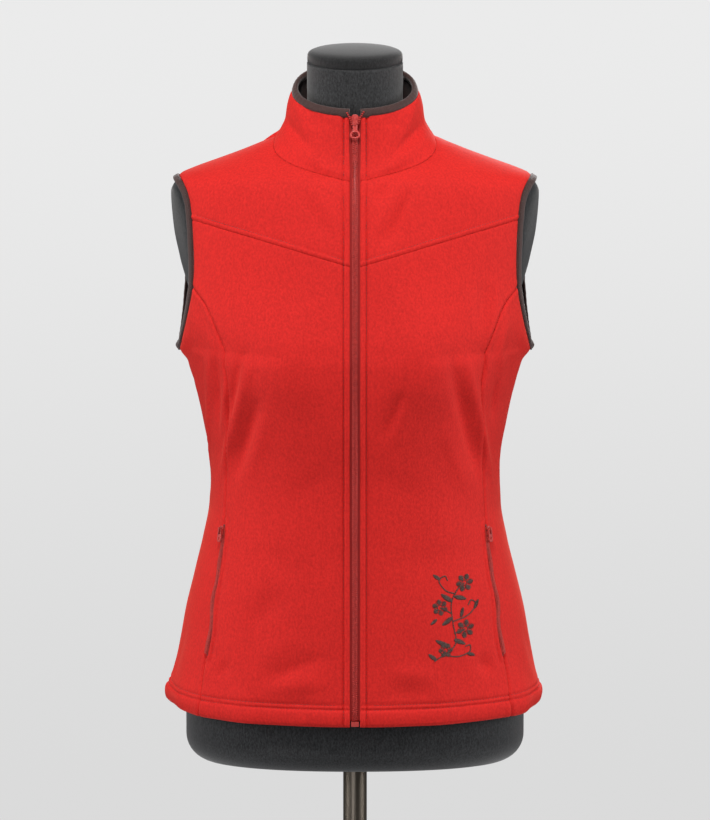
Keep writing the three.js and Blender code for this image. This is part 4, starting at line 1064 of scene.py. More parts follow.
# Creases in the collar, as FOLDS: (side, three (x, z) points, half width, height)
COLLAR_FOLDS = [
    (1, [(-77, 1448), (-60, 1416), (-13, 1399)], 6, 3.0),
    (1, [(-71, 1454), (-61, 1436), (-46, 1421)], 5, -3.4),
    (1, [(-64, 1488), (-56, 1455), (-40, 1422)], 6, 2.4),
    (1, [(-44, 1462), (-34, 1452), (-24, 1444)], 6, -1.8),
    (1, [(-52, 1478), (-46, 1462), (-34, 1440)], 5, -1.4),
    (1, [(77, 1446), (60, 1415), (22, 1399)], 6, 3.0),
    (1, [(70, 1450), (58, 1433), (42, 1422)], 5, -3.4),
    (1, [(65, 1488), (58, 1452), (40, 1425)], 6, 2.6),
    (1, [(48, 1458), (38, 1453), (26, 1450)], 8, -1.8),
    (-1, [(-70, 1470), (-40, 1462), (-6, 1470)], 7, -1.8),
    (-1, [(66, 1474), (42, 1458), (10, 1462)], 7, -1.7),
    (-1, [(-60, 1494), (-34, 1484), (-12, 1488)], 6, 1.2),
]


def collar_fold_paths():
    """Each crease follows the collar's points that are nearest to its own in x and z."""
    share, up = np.meshgrid(np.linspace(0.01, 1.99, 397), np.linspace(0, 1, 70))
    cloud = collar_at(share, up).reshape(-1, 3)
    front = (np.minimum(share, 2 - share) <= 0.5).ravel()
    paths = []
    for side, points, width, height in COLLAR_FOLDS:
        flat = bowed(points, 24)
        chosen = cloud[front if side > 0 else ~front]
        gap = np.linalg.norm(chosen[None][..., [0, 2]] - flat[:, None], axis=2)
        paths.append((chosen[gap.argmin(axis=1)], width, height))
    return paths


COLLAR_PATHS = collar_fold_paths()


def collar_fall(points):
    """The collar's creases are bells across their paths, as the body's, over its fainter waves."""
    total = waves_at(points) * 0.8
    for path, width, height in COLLAR_PATHS:
        gap, along = distance_to(points, path)
        total += height * np.sin(math.pi * np.clip(along, 0.05, 0.95)) ** 0.7 * np.exp(
            -(gap / width) ** 2)
    return total


COLLAR_LENGTH, COLLAR_HEIGHT = 512, 66     # what the shares of the collar's grid stand for
# Inside the collar a sheet of the dark trim knit lies behind the fleece.
LINING_START = 0.05              # share at which the lining begins, inside the zip's tape
LINING_GAP, LINING = 0.4, 1.5    # behind the fleece, and the lining's thickness


def collar_grids(share_low, inside):
    """Two faces of the collar over shares from one zip edge to the other."""
    share, up = np.meshgrid(share_low + 2 * (1 - share_low) * spaced(COLLAR_LENGTH, 20, 20, 0.8),
                            spaced(COLLAR_HEIGHT, FINE_SEAM, 4))
    base, normal = collar_at(share, up), collar_normal(share, up)
    fall = collar_fall(base)
    height = up * COLLAR_HEIGHT
    reach = np.abs(base[..., 0])
    front = base[..., 1] < -20
    sewn = 0.5 * dip(height, 4.6, 2.6)
    sewn = sewn - np.where(front, 2.0 * dip(reach, ZIP_STITCH, 1.15), 0)
    sewn = sewn + np.where(front, 0.4 * dip(reach, ZIP_ROLL, 1.9), 0)
    sewn = sewn - 0.8 * dip(COLLAR_HEIGHT - height, 0, 3)
    outer = base + normal * (fall + sewn)[..., None]
    inner = base + normal * (fall + inside)[..., None]
    left = np.where(share[0] > 1, 2 - share[0], share[0])
    turn = lerp(COLLAR_BASE_EDGE, QUARTER, np.minimum(left, 0.5) * 2) + np.maximum(
        left - 0.5, 0) * 2 * QUARTER
    turn = np.where(share[0] > 1, -turn, turn)
    sewn_to = surface_of(line(turn, neckline_z(turn)), False)[0]
    outer += (sewn_to - outer[0]) * (1 - smoothstep(height, 0, 9))[..., None]
    outer[0] += unit(outer[1] - outer[0]) * SEAM_GAP
    return outer, inner


def bound_section(point, normal, reach, out, inside, width):
    """Rings of a folded strip: a rounded rectangle whose long side runs out of the cloth. Its
    corners are the 2.6 power of an ellipse."""
    turn, start = full_turn(20), 0.3
    across, along = (signed_power(way(turn), 2 / 2.6) for way in (np.cos, np.sin))
    half = np.broadcast_to((np.asarray(width, float) - start) / 2, len(point))[:, None]
    reach_at = start + half * (1 + across)
    out_at = (out + inside) / 2 + (out - inside) / 2 * along
    return (point[:, None] + reach[:, None] * reach_at[..., None]
            + normal[:, None] * out_at[None, :, None])


def armhole_binding_rings():
    """The folded strip carried round the armhole, with a slight pucker of two sines."""
    loop = resample(ARMHOLE_LOOP, 220)[:-1]
    point = on_body(loop)
    normal = body_normal(loop[:, 0], loop[:, 1])
    along = np.roll(point, -1, axis=0) - np.roll(point, 1, axis=0)
    reach = unit(np.cross(normal, along))
    pucker = 0.12 * np.sin(np.arange(len(loop)) * 1.9) + 0.1 * np.sin(np.arange(len(loop)) * 0.61)
    return bound_section(point + normal * pucker[:, None], normal, reach, 0.9, -2.4, 7.4), loop


def collar_binding_rings():
    """The folded strip carried along the collar's top, puckered by a sine, and lower and wider
    at both zip ends."""
    share = np.linspace(0, 2, 210)
    point = collar_at(share, 1)
    normal = collar_normal(share, np.full_like(share, 1.0))
    along = np.gradient(point, axis=0)
    reach = unit(np.cross(normal, along))
    reach = np.where(reach[:, 2:] < 0, -reach, reach)
    pucker = 0.14 * np.sin(np.arange(len(share)) * 1.7)
    ends = smoothstep(np.minimum(share, 2 - share) * 190, 9.5, 7.5)
    point = point + normal * (pucker + 0.5 * ends)[:, None] - reach * (0.9 + 1.2 * ends)[:, None]
    return bound_section(point, normal, reach, 0.7, -4.7, 8.7 + 1.2 * ends)


# ---------- rows of stitches, and things set along a path ----------

def capsule(length, radius, around=6):
    """A stitch lying along x: rings whose radius follows half a sine to a small power."""
    t = np.linspace(0.04, 0.96, 5)
    x = (t - 0.5) * length
    r = radius * np.sin(math.pi * t) ** 0.6
    turn = full_turn(around)
    rings = np.stack(np.broadcast_arrays(
        x[:, None], r[:, None] * np.cos(turn), r[:, None] * np.sin(turn)), axis=-1)
    return tube(rings, False)


def set_along(template, origin, axis_x, axis_y, axis_z):
    """Copies of a template at each origin, in that origin's own three axes."""
    points, faces = template
    placed = (origin[:, None] + points[None, :, 0:1] * axis_x[:, None]
              + points[None, :, 1:2] * axis_y[:, None] + points[None, :, 2:3] * axis_z[:, None])
    shift = (np.arange(len(origin)) * len(points))[:, None, None]
    return placed.reshape(-1, 3), [(block[None] + shift).reshape(-1, block.shape[1])
                                   for block in faces]


def joined(groups):
    """Points and faces of several meshes as one."""
    points, faces, start = [], {}, 0
    for group_points, group_faces in groups:
        for block in group_faces:
            faces.setdefault(block.shape[1], []).append(block + start)
        points.append(group_points)
        start += len(group_points)
    return np.concatenate(points), [np.concatenate(blocks) for blocks in faces.values()]


def stitch_row(point, normal, pitch=3.1, length=2.5, radius=0.36, sink=0.05):
    """Stitches evenly along a path of points with their surface normals."""
    run = run_of(point)
    at = np.arange(pitch, run[-1] - pitch / 2, pitch)
    centre, outward = read_at(at, run, point), unit(read_at(at, run, normal))
    along = unit(read_at(at + 0.8, run, point) - centre)
    across = unit(np.cross(outward, along))
    return set_along(capsule(length, radius), centre - outward * sink, along, across, outward)


def surface_of(places, above_yoke):
    """Points and normals of the finished cloth at a list of places."""
    angle, z = places[..., 0], places[..., 1]
    base, normal = on_body(places), body_normal(angle, z)
    fall = relief_at(base, angle, z)
    return base + normal * (fall + seams_at(base, angle, z, above_yoke))[..., None], normal


def places_of(points):
    """Places on the front or back nearest to points close to the body: the height is kept, and
    the angle is the one whose x is the point's."""
    z = points[:, 2]
    angle = angle_at(np.abs(points[:, 0]), z)
    angle = np.where(points[:, 1] > VEST_SIDE(z), math.pi - angle, angle)
    return line(angle * np.sign(points[:, 0]), z)


def beside(places, gap, towards):
    """Places a gap in millimetres to one side of a line on the body."""
    point = on_body(places)
    normal = body_normal(places[:, 0], places[:, 1])
    across = unit(np.cross(normal, np.gradient(point, axis=0)))
    across = np.where((across @ np.array(towards, float))[:, None] < 0, -across, across)
    return places_of(point + across * gap)


# ---------- zips ----------

CHAIN_TOP = SLIDER_AT + 0.035
COIL_PITCH = 2.2       # from loop to loop of the front zip's coil
POCKET_PITCH = 1.5     # the same on the pocket zips


def front_rises(bottom_z, top):
    """Rises from a height on the body up to a share of the collar."""
    body = np.linspace(bottom_z - NECK["front"], 0, 230)[:-1]
    return np.concatenate([body, np.linspace(0, top, 34)])


def front_ribbon(xs, rises, out, inside):
    """A strip down the centre front between two offsets from it."""
    x, rise = np.meshgrid(xs, rises)
    base = front_point(x, rise)
    normal = front_normal(rise)
    normal = np.broadcast_to(normal, base.shape)
    return shell(base + normal * out, base + normal * inside)


def path_frames(point, normal, pitch):
    """Evenly spaced origins along a path, with the axes across, along and out of it."""
    run = run_of(point)
    at = np.arange(pitch / 2, run[-1], pitch)
    place, out = read_at(at, run, point), unit(read_at(at, run, normal))
    along = unit(read_at(at + 1, run, point) - read_at(at - 1, run, point))
    across = unit(np.cross(along, out))
    return place, across, unit(np.cross(out, across)), out


def coil_row(point, normal, side, reach=1.5, length=3.1, radius=0.72, lift=-0.8, slant=0.5):
    """One side of a nylon coil: loops that lean along the chain, half a pitch off the other's."""
    place, across, along, out = path_frames(point, normal, COIL_PITCH)
    place = place + along * (COIL_PITCH / 2 if side > 0 else 0)
    lean = math.cos(slant), math.sin(slant)
    loop = unit(across * lean[0] * side + along * lean[1])
    beside_loop = np.cross(out, loop)
    centre = place + across * (side * reach) + out * lift
    return set_along(capsule(length, radius, 8), centre, loop, beside_loop, out)


def zip_chain_mesh():
    """A core strip, two rows of coil, and both rows' open ends above the slider."""
    rises = front_rises(ZIP_BOTTOM, CHAIN_TOP)
    point, normal = front_point(0, rises), front_normal(rises)
    core = front_ribbon(np.array([-3.1, 0, 3.1]), rises, -1.5, -2.3)
    ends = []
    t = np.linspace(0, 1, 12)
    for side in (-1, 1):
        rise = lerp(SLIDER_AT - 0.07, 1.05, t)
        x = side * (2.9 + 5.4 * t ** 1.5)
        end = front_point(0 * t, rise)
        end[:, 0] = x
        out = front_normal(np.minimum(rise, 1.0))
        ends.append(coil_row(end + out * 1.5, out, side, 0, 2.4, 0.8, 0, 0.25))
    rows = [coil_row(point, normal, side) for side in (-1, 1)]
    return joined([core] + rows + ends)


ZIP_ROW = {"pitch": 3.0, "length": 2.9, "radius": 0.46, "sink": -0.1}


def zip_stitch_mesh():
    """A row of topstitching each side of the zip, up the body and the collar."""
    rows = []
    z = np.linspace(ZIP_BOTTOM + 1, NECK["front"] - 3, 300)
    rise = np.linspace(0.04, 0.93, 40)
    for side in (-1, 1):
        low, normal = surface_of(line(side * angle_at(ZIP_STITCH, z), z), True)
        rows.append(stitch_row(low, normal, **ZIP_ROW))
        high = front_point(side * ZIP_STITCH, rise)
        out = front_normal(rise)
        fall = collar_fall(high)
        rows.append(stitch_row(high + out * (fall - 1.75)[:, None], out, **ZIP_ROW))
    return joined(rows)


def pocket_path(gap=0.0):
    """The pocket's line on the finished cloth, or one beside it, with normals."""
    z = np.linspace(POCKET["low"] + 0.5, POCKET["high"] - 1, 160)
    places = line(princess_angle(z), z)
    if gap:
        places = beside(places, gap, (-1, 0, 0))
    point, normal = surface_of(places, False)
    return point, normal


def pocket_zip_mesh(side):
    """Coil loops across the seam on a narrow tape, which swings a little from side to side."""
    point, normal = pocket_path()
    base = on_body(line(princess_angle(point[:, 2]), point[:, 2]))
    place, across, along, out = path_frames(base, normal, POCKET_PITCH)
    sway = 0.9 * np.sin(np.linspace(0, 6.2 * math.pi, len(place)))
    place = place + across * sway[:, None]
    slant = unit(across * 0.92 + along * 0.38)
    loops = set_along(capsule(5.2, 0.7, 8), place + out * 1.25, slant, np.cross(out, slant), out)
    grid = place[:, None] + across[:, None] * np.linspace(-2.9, 2.9, 5)[None, :, None]
    tape = shell(grid + out[:, None] * 0.7, grid + out[:, None] * 0.3)
    points, faces = joined([loops, tape])
    return mirrored(points, side), faces


def bar_tack(centre, along, across, out, reach=3.6, count=7):
    """Close stitches across the end of a pocket."""
    shift = np.linspace(-1.3, 1.3, count)[:, None]
    origin = centre + along * shift + out * 0.25
    axes = [np.repeat(axis[None], count, axis=0) for axis in (across, along, out)]
    return set_along(capsule(2 * reach, 0.3), origin, *axes)


def pocket_stitch_mesh(side):
    """A row beside the pocket and a bar tack across each of its ends."""
    point, normal = pocket_path(POCKET_STITCH)
    row = stitch_row(point, normal)
    edge, out = pocket_path()
    groups = [row]
    for at, near, slope in ((0, 4, 1), (-1, -4, -1)):
        up = unit(edge[near] - edge[at]) * slope
        sideways = unit(np.cross(up, out[at]))
        centre = edge[at] - up * slope * 1.2 + out[at] * 0.6
        groups.append(bar_tack(centre, up, sideways, out[at]))
    points, faces = joined(groups)
    return mirrored(points, side), faces


def ring_tube(centre, reach_x, reach_y, thick_x, thick_z, power=0.85, around=40):
    """A closed bar bent round an ellipse whose sine and cosine are raised to a power."""
    turn = full_turn(around)
    cos, sin = np.cos(turn), np.sin(turn)
    path = np.stack([reach_x * signed_power(cos, power) + centre[0],
                     reach_y * signed_power(sin, power) + centre[1], 0 * turn], axis=1)
    out = unit(np.stack([cos / reach_x, sin / reach_y, 0 * turn], axis=1))
    small = full_turn(12)
    rings = (path[:, None] + out[:, None] * thick_x * np.cos(small)[None, :, None]
             + np.array([0, 0, 1.0]) * thick_z * np.sin(small)[None, :, None])
    return tube(rings, True)


PULL_PIVOT = 0.6, 2.25     # up the zip and out of it, from the slider's middle
SLIDER_SLIM = 0.76         # the visible slider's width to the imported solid's


def front_pull_mesh():
    """A die-cast pull: an eye round the slider's bridge, a bar that widens by the power 2.2 of
    the way along it, and an oval ring."""
    t = np.linspace(0, 1, 16)
    small = full_turn(16)
    half = 1.75 + 1.5 * t ** 2.2
    y = lerp(-4.4, -12.4, t)
    bar = np.stack(np.broadcast_arrays(half[:, None] * np.cos(small), y[:, None],
                                       0.8 * np.sin(small)), axis=-1)
    parts = [ring_tube((0, -14.9), 4.3, 3.3, 0.95, 0.85), tube(bar, False),
             ring_tube((0, -2.2), 1.7, 2.6, 0.75, 0.75)]
    points, faces = joined(parts)
    out = front_normal(SLIDER_AT)
    up = unit(np.array([0, out[2], -out[1]]))
    pivot = front_point(0, SLIDER_AT) + up * PULL_PIVOT[0] + out * PULL_PIVOT[1]
    placed = pivot + points[:, :1] * np.cross(up, out) + points[:, 1:2] * up + points[:, 2:] * out
    return placed, faces


def softened(node, width_mm, material, segments=2):
    """A merged copy of a CAD node with its edges rounded by a bevel, in its own material."""
    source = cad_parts[node]
    mesh = source.data.copy()
    mesh.name = node + "_rounded"
    mesh.materials.clear()
    mesh.materials.append(material)
    piece = bpy.data.objects.new(node + "_rounded", mesh)
    bpy.context.scene.collection.objects.link(piece)
    weld = piece.modifiers.new("Weld", "WELD")
    weld.merge_threshold = 0.00001
    bevel = piece.modifiers.new("Bevel", "BEVEL")
    bevel.width = width_mm * MM
    bevel.segments = segments
    bevel.limit_method = "ANGLE"
    bevel.angle_limit = math.radians(35)
    return piece


# ---------- dress form and stand ----------

FORM = {"bottom": 782, "fillet": 28, "top": 1434, "drop": 1.4, "side": 4.5, "front": 10,
        "back": 20}
FORM_NECK = {"radius": 50, "low": 1400, "high": 1513.7, "low_y": -4, "high_y": -13, "tilt": 10}
# height above the neck's top and radius, from the cap's foot to its middle
CAP_PROFILE = np.array([
    (0.3, 0.5), (0.3, 48.4), (0.9, 49.1), (2.5, 49.6), (5.5, 49.7), (8.5, 49.4), (10.4, 48.5),
    (11.8, 46.8), (13.1, 43.6), (14, 39), (14.8, 32), (15.4, 24), (15.8, 16), (16, 8), (16, 0.5)])
COVER_SEAMS = [0.482, math.pi - 0.6, QUARTER]     # angles of the cover's seams on either side


def form_point(angle, z):
    """The torso's own table, eased above the chest into the vest's shape less a clearance,
    rounded in at the bottom by a quarter circle, and sunk by a bell across each cover seam."""
    share = smoothstep(z, 1312, 1352)
    above = z + FORM["drop"] + 5 * smoothstep(z, 1411, 1423)
    half = lerp(FORM_HALF(z), VEST_HALF(above) - FORM["side"], share)
    front = lerp(FORM_FRONT(z), VEST_FRONT(above) - FORM["front"], share)
    back = lerp(FORM_BACK(z), VEST_BACK(above) - FORM["back"], share)
    side = lerp(FORM_SIDE(z), VEST_SIDE(above), share)
    rise = np.maximum(FORM["bottom"] + FORM["fillet"] - z, 0)
    fillet = FORM["fillet"] - np.sqrt(np.maximum(FORM["fillet"] ** 2 - rise ** 2, 0))
    groove = sum(np.exp(-((np.abs(np.abs((angle + math.pi) % (2 * math.pi) - math.pi) - seam)
                           * RADIAN) / 1.3) ** 2) for seam in COVER_SEAMS)
    groove = 0.7 * groove * (1 - smoothstep(z, 1300, 1380))
    inset = fillet + groove
    return section_point(angle, z, half - inset, front - inset, back - inset, side)


def neck_ring(share, radius, up, around=96):
    """A ring of the neck: its centre moves back and its plane tilts as the neck rises."""
    tilt = math.radians(FORM_NECK["tilt"]) * share
    y = lerp(FORM_NECK["low_y"], FORM_NECK["high_y"], share)
    z = lerp(FORM_NECK["low"], FORM_NECK["high"], share)
    angle = full_turn(around)
    share, radius, up, tilt, y, z = (np.atleast_1d(v)[:, None] for v in (
        share, radius, up, tilt, y, z))
    ahead = -np.cos(angle) * radius
    x = np.sin(angle) * radius
    return np.stack(np.broadcast_arrays(
        x, y + ahead * np.cos(tilt) - up * np.sin(tilt),
        z + ahead * np.sin(tilt) + up * np.cos(tilt)), axis=-1)


def form_body_mesh():
    """The torso as rings of form_point and the neck as rings of neck_ring."""
    quarter = np.linspace(0, QUARTER, 12)
    fillet_z = FORM["bottom"] + FORM["fillet"] * (1 - np.cos(quarter[:-1]))
    z = np.concatenate([fillet_z, np.linspace(FORM["bottom"] + FORM["fillet"], 1372, 120),
                        np.linspace(1374, FORM["top"], 40)])
    angle = full_turn(240)
    grid_angle, grid_z = np.meshgrid(angle, z)
    torso = tube(form_point(grid_angle, grid_z), False)
    share = np.linspace(0, 1, 40)
    neck = tube(neck_ring(share, np.full(40, FORM_NECK["radius"]), np.zeros(40)), False)
    return joined([torso, neck])


def turned(profile, around=96):
    """A profile of (radius, z) points turned round the pole's line; its ends are on the axis."""
    profile = np.array(profile, float)
    angle = full_turn(around)
    rings = np.stack(np.broadcast_arrays(
        profile[:, 0:1] * np.cos(angle), profile[:, 0:1] * np.sin(angle), profile[:, 1:2]), axis=-1)
    return tube(rings, False)


def eased(profile, radius=1.2, steps=4):
    """Rounds each corner of a profile with a short parabola."""
    points = np.array(profile, float)
    made = [points[0]]
    for before, here, after in zip(points[:-2], points[1:-1], points[2:]):
        for_in = min(radius, np.linalg.norm(before - here) * 0.45)
        for_out = min(radius, np.linalg.norm(after - here) * 0.45)
        start = here + (before - here) / max(np.linalg.norm(before - here), 1e-9) * for_in
        end = here + (after - here) / max(np.linalg.norm(after - here), 1e-9) * for_out
        for t in np.linspace(0, 1, steps):
            made.append(start * (1 - t) ** 2 + 2 * here * t * (1 - t) + end * t * t)
    made.append(points[-1])
    return np.array(made)


BASE_PROFILE = [(0.5, 0), (203, 0), (203, 4), (198, 7), (60, 10), (22, 14), (19, 18), (19, 34),
                (12.9, 34), (12.9, 10), (0.5, 10)]
POLE_PROFILE = [(0.5, 10.3), (12.5, 10.3), (12.5, 781.7), (0.5, 781.7)]


# ---------- embroidery: a sprig of the usual folk kind, drawn for this vest ----------

SPRIG_AT = (101.0, 947.0)     # middle of the sprig: x and z on the wearer's left front
SPRIG_WIDTH = 0.98            # its width on the cloth to that of the drawing
THREAD = {"radius": 0.34, "pitch": 0.62, "lift": 0.18, "overlap": 0.4}
# middle of each flower from the sprig's middle, its petals' length, and its turn in degrees
SPRIG_FLOWERS = [((12, 33), 9.2, 8), ((-14, 9), 8.2, 40), ((13, -14), 9.4, 20), ((-8, -35), 7.4, 0)]
PETALS = 6
SPRIG_STEMS = [
    [(-20, -46), (2, -30), (0, -8), (-2, 12), (4, 26), (12, 33)],
    [(-1, 2), (-8, 6), (-14, 9)], [(1, -18), (7, -17), (13, -14)],
    [(-8, -37), (-10, -38), (-8, -35)],
    [(3, 22), (-8, 26), (-15, 36), (-9, 41), (-6, 36)],
    [(0, -6), (16, 0), (24, 10), (19, 15), (16, 10)],
    [(-12, -39), (4, -42), (17, -38), (18, -31), (13, -32)],
]
# (root, tip, half width) of each leaf and bud
SPRIG_LEAVES = [
    ((-1, 14), (-13, 23), 2.6), ((1, 20), (14, 16), 2.4), ((0, -2), (-12, -9), 2.7),
    ((1, -24), (13, -30), 2.5), ((-4, -32), (-19, -24), 2.4), ((-18, -45), (-26, -38), 2.2),
    ((22, 6), (27, 15), 1.9), ((-14, 37), (-21, 43), 2.0), ((15, -39), (23, -42), 1.9),
    ((8, -2), (11, 8), 1.8), ((-17, -3), (-24, -8), 1.7),
]


def spline(points, count):
    """A smooth path through points: each span is a cubic whose end slopes are the chords
    between its neighbours."""
    points = np.array(points, float)
    slope = np.gradient(points, axis=0)
    spans = len(points) - 1
    at = np.linspace(0, spans - 1e-6, count)
    i, t = at.astype(int), (at % 1)[:, None]
    a, b, m, n = points[i], points[i + 1], slope[i], slope[i + 1]
    return (a * (2 * t ** 3 - 3 * t * t + 1) + m * (t ** 3 - 2 * t * t + t)
            + b * (3 * t * t - 2 * t ** 3) + n * (t ** 3 - t * t))


def satin(root, tip, half_width, power=0.8, lean=0.45):
    """Threads side by side across a leaf or petal: their half length is the half width times a
    sine of the way along it, and they lean towards the tip."""
    root, tip = np.array(root, float), np.array(tip, float)
    axis = tip - root
    length = np.linalg.norm(axis)
    axis = axis / length
    across = np.array([-axis[1], axis[0]])
    count = max(int(length / THREAD["pitch"]), 4)
    t = np.linspace(0.05, 0.95, count)
    reach = half_width * np.sin(math.pi * t ** 0.85) ** power + 0.25
    middle = root + axis * (t * length)[:, None]
    thrown = (across + axis * lean) * reach[:, None]
    return np.stack([middle - thrown, middle + thrown], axis=1)


def sprig_threads():
    """All threads as pairs of ends in the sprig's own plane, in millimetres."""
    threads = []
    for (cx, cy), size, turn in SPRIG_FLOWERS:
        for k in range(PETALS):
            a = math.radians(turn + 360 / PETALS * k)
            way = np.array([math.cos(a), math.sin(a)])
            centre = np.array([cx, cy])
            threads.append(satin(centre + way * 3.5, centre + way * size, 2.9, 0.55, 0.1))
        a = full_turn(22)
        ring = np.stack([np.cos(a), np.sin(a)], axis=1)
        threads.append(np.stack([ring * 2.2, ring * 3.3], axis=1) + np.array([cx, cy]))
    for points in SPRIG_STEMS:
        path = resample(spline(points, 80), max(int(len(points) * 7), 6), (1.0, 1.0))
        step = np.diff(path, axis=0)
        side = unit(np.stack([-step[:, 1], step[:, 0]], axis=1)) * 0.32
        for shift in (-1, 1):
            ends = np.stack([path[:-1] + side * shift, path[1:] + step * 0.15 + side * shift], 1)
            threads.append(ends)
    for root, tip, width in SPRIG_LEAVES:
        root, tip = np.array(root, float), np.array(tip, float)
        threads.append(satin(root, tip, width))
    return np.concatenate(threads)


def sprig_mesh():
    """Each thread is a capsule stretched between its two ends on the finished cloth."""
    threads = sprig_threads()
    x = SPRIG_AT[0] + threads[..., 0] * SPRIG_WIDTH
    z = SPRIG_AT[1] + threads[..., 1]
    places = np.stack([angle_at(x, z), z], axis=-1)
    point, normal = surface_of(places, False)
    middle = point.mean(axis=1)
    out = unit(normal.mean(axis=1))
    along = point[:, 1] - point[:, 0]
    reach = np.linalg.norm(along, axis=1)
    along = unit(along)
    across = unit(np.cross(out, along))
    longer = along * (reach + THREAD["overlap"])[:, None]
    return set_along(capsule(1.0, THREAD["radius"], 6), middle + out * THREAD["lift"], longer,
                     across, out)


# ---------- settings, which the sidebar shows ----------

def shade_prop(name, code, about):
    """A colour setting from its hex value."""
    return bpy.props.FloatVectorProperty(name=name, description=about, subtype="COLOR", size=4,
                                         min=0, max=1, default=colour(code))


def millimetres(name, value, about, low=0.0, high=1000.0):
    """A length setting given in millimetres."""
    return bpy.props.FloatProperty(name=name, description=about, default=value * MM, min=low * MM,
                                   max=high * MM, unit="LENGTH", precision=5)


class VestFleece(bpy.types.PropertyGroup):
    tone: shade_prop("Tone", "#DC2722", "Colour of the fleece on the tips of its nap")
    shade: shade_prop("Shade", "#C01D1B", "Colour of the fleece between the tips of its nap")


class VestTrim(bpy.types.PropertyGroup):
    tone: shade_prop("Tone", "#4E3532", "Colour of the binding on its ribs")
    shade: shade_prop("Shade", "#332220", "Colour of the binding between its ribs")


class VestZip(bpy.types.PropertyGroup):
    tone: shade_prop("Coil tone", "#D0423C", "Colour of the coil and the enamel")
    shade: shade_prop("Coil shade", "#AE3230", "Colour of the coil's and the enamel's worn places")
    tape: shade_prop("Tape", "#B22C2B", "Colour of the zip tape")
    pocket_tone: shade_prop("Pocket tone", "#C8403A", "Colour of the pocket zips in light")
    pocket_shade: shade_prop("Pocket shade", "#A0302D", "Colour of the pocket zips in shade")


class VestThread(bpy.types.PropertyGroup):
    # The seam thread's dark red is partly its own colour, partly painted shade of the stitch
    # grooves.
    tone: shade_prop("Seam thread", "#8C181A", "Colour of the seams' thread")
    sprig_tone: shade_prop("Sprig, lit", "#573B32", "Colour of the embroidery's thread in light")
    sprig_shade: shade_prop("Sprig, shade", "#36231E", "Colour of the embroidery's thread in shade")
    pitch: millimetres("Stitch pitch", 3.1, "Distance from stitch to stitch", 1, 10)


class VestForm(bpy.types.PropertyGroup):
    tone: shade_prop("Tone", "#3C3D3F", "Colour of the cover's paler fibres")
    shade: shade_prop("Shade", "#1A1B1C", "Colour of the cover's darker fibres")


class VestStage(bpy.types.PropertyGroup):
    floor: shade_prop("Floor", "#D2D3D5", "Colour of the floor")
    backdrop: shade_prop("Backdrop", "#EBEBEB", "Colour behind the form")
    ambient: bpy.props.FloatProperty(name="Ambient", default=0.13, min=0, max=2, subtype="FACTOR",
                                     description="Strength of the light from all round")
    distance: bpy.props.FloatProperty(name="Camera distance", default=4.5, min=1, max=20,
                                      unit="LENGTH", description="From the camera to the vest")


GROUPS = {"vest_fleece": VestFleece, "vest_trim": VestTrim, "vest_zip": VestZip,
          "vest_thread": VestThread, "vest_form": VestForm, "vest_stage": VestStage}


MADE = {}


def material_once(name, maker, *values):
    """Makes a material at its first call and hands out the same one after."""
    if name not in MADE:
        MADE[name] = maker(*values)
    return MADE[name]


def fleece_material(context):
    """The fleece, from its settings."""
    return material_once("fleece", make_fleece, context.scene.vest_fleece)


def trim_material(context):
    """The knit of the bindings and of the dark sheet inside the collar, from its settings."""
    return material_once("trim", make_binding, context.scene.vest_trim)


def seam_thread(context):
    """The seams' thread, from its settings. Its dark red is partly the thread's own colour and
    partly painted shade of the grooves that the stitches sink into.
    """
    tone = tuple(context.scene.vest_thread.tone)
    return material_once("seam_thread", make_thread, "red_seam_thread", dimmed(tone, 0.72), tone)


class VEST_OT_panels(bpy.types.Operator):
    """Builds the fleece panels of the body"""
    bl_idname = "vest.panels"
    bl_label = "Fleece panels"

    def execute(self, context):
        fleece = fleece_material(context)
        halves = {"front_panel": (front_panel_places(), False),
                  "front_yoke": (front_yoke_places(), True),
                  "side_panel": (side_panel_places(), False)}
        for name, (places, above_yoke) in halves.items():
            for side, grid in (("left", places), ("right", flip(places))):
                piece = make_cloth(f"{name}_{side}_cloth", grid, fleece, above_yoke)
                finish_piece(piece, [f"{name}_{side}"])
        back = make_cloth("back_panel_cloth", back_panel_places(), fleece)
        finish_piece(back, ["back_panel"])
        return {"FINISHED"}


class VEST_OT_collar(bpy.types.Operator):
    """Builds the collar and a dark sheet of the trim's knit inside it"""
    bl_idname = "vest.collar"
    bl_label = "Collar"

    def execute(self, context):
        outer, inner = collar_grids(0.0, -FLEECE)
        collar = put_mesh("collar_cloth", *shell(outer, inner), fleece_material(context), RIM)
        finish_piece(collar, ["collar"])
        behind = -FLEECE - LINING_GAP
        lined = [collar_grids(LINING_START, depth)[1] for depth in (behind, behind - LINING)]
        lining = put_mesh("collar_lining_cloth", *shell(*lined), trim_material(context), RIM)
        finish_piece(lining, ["collar_lining"])
        return {"FINISHED"}


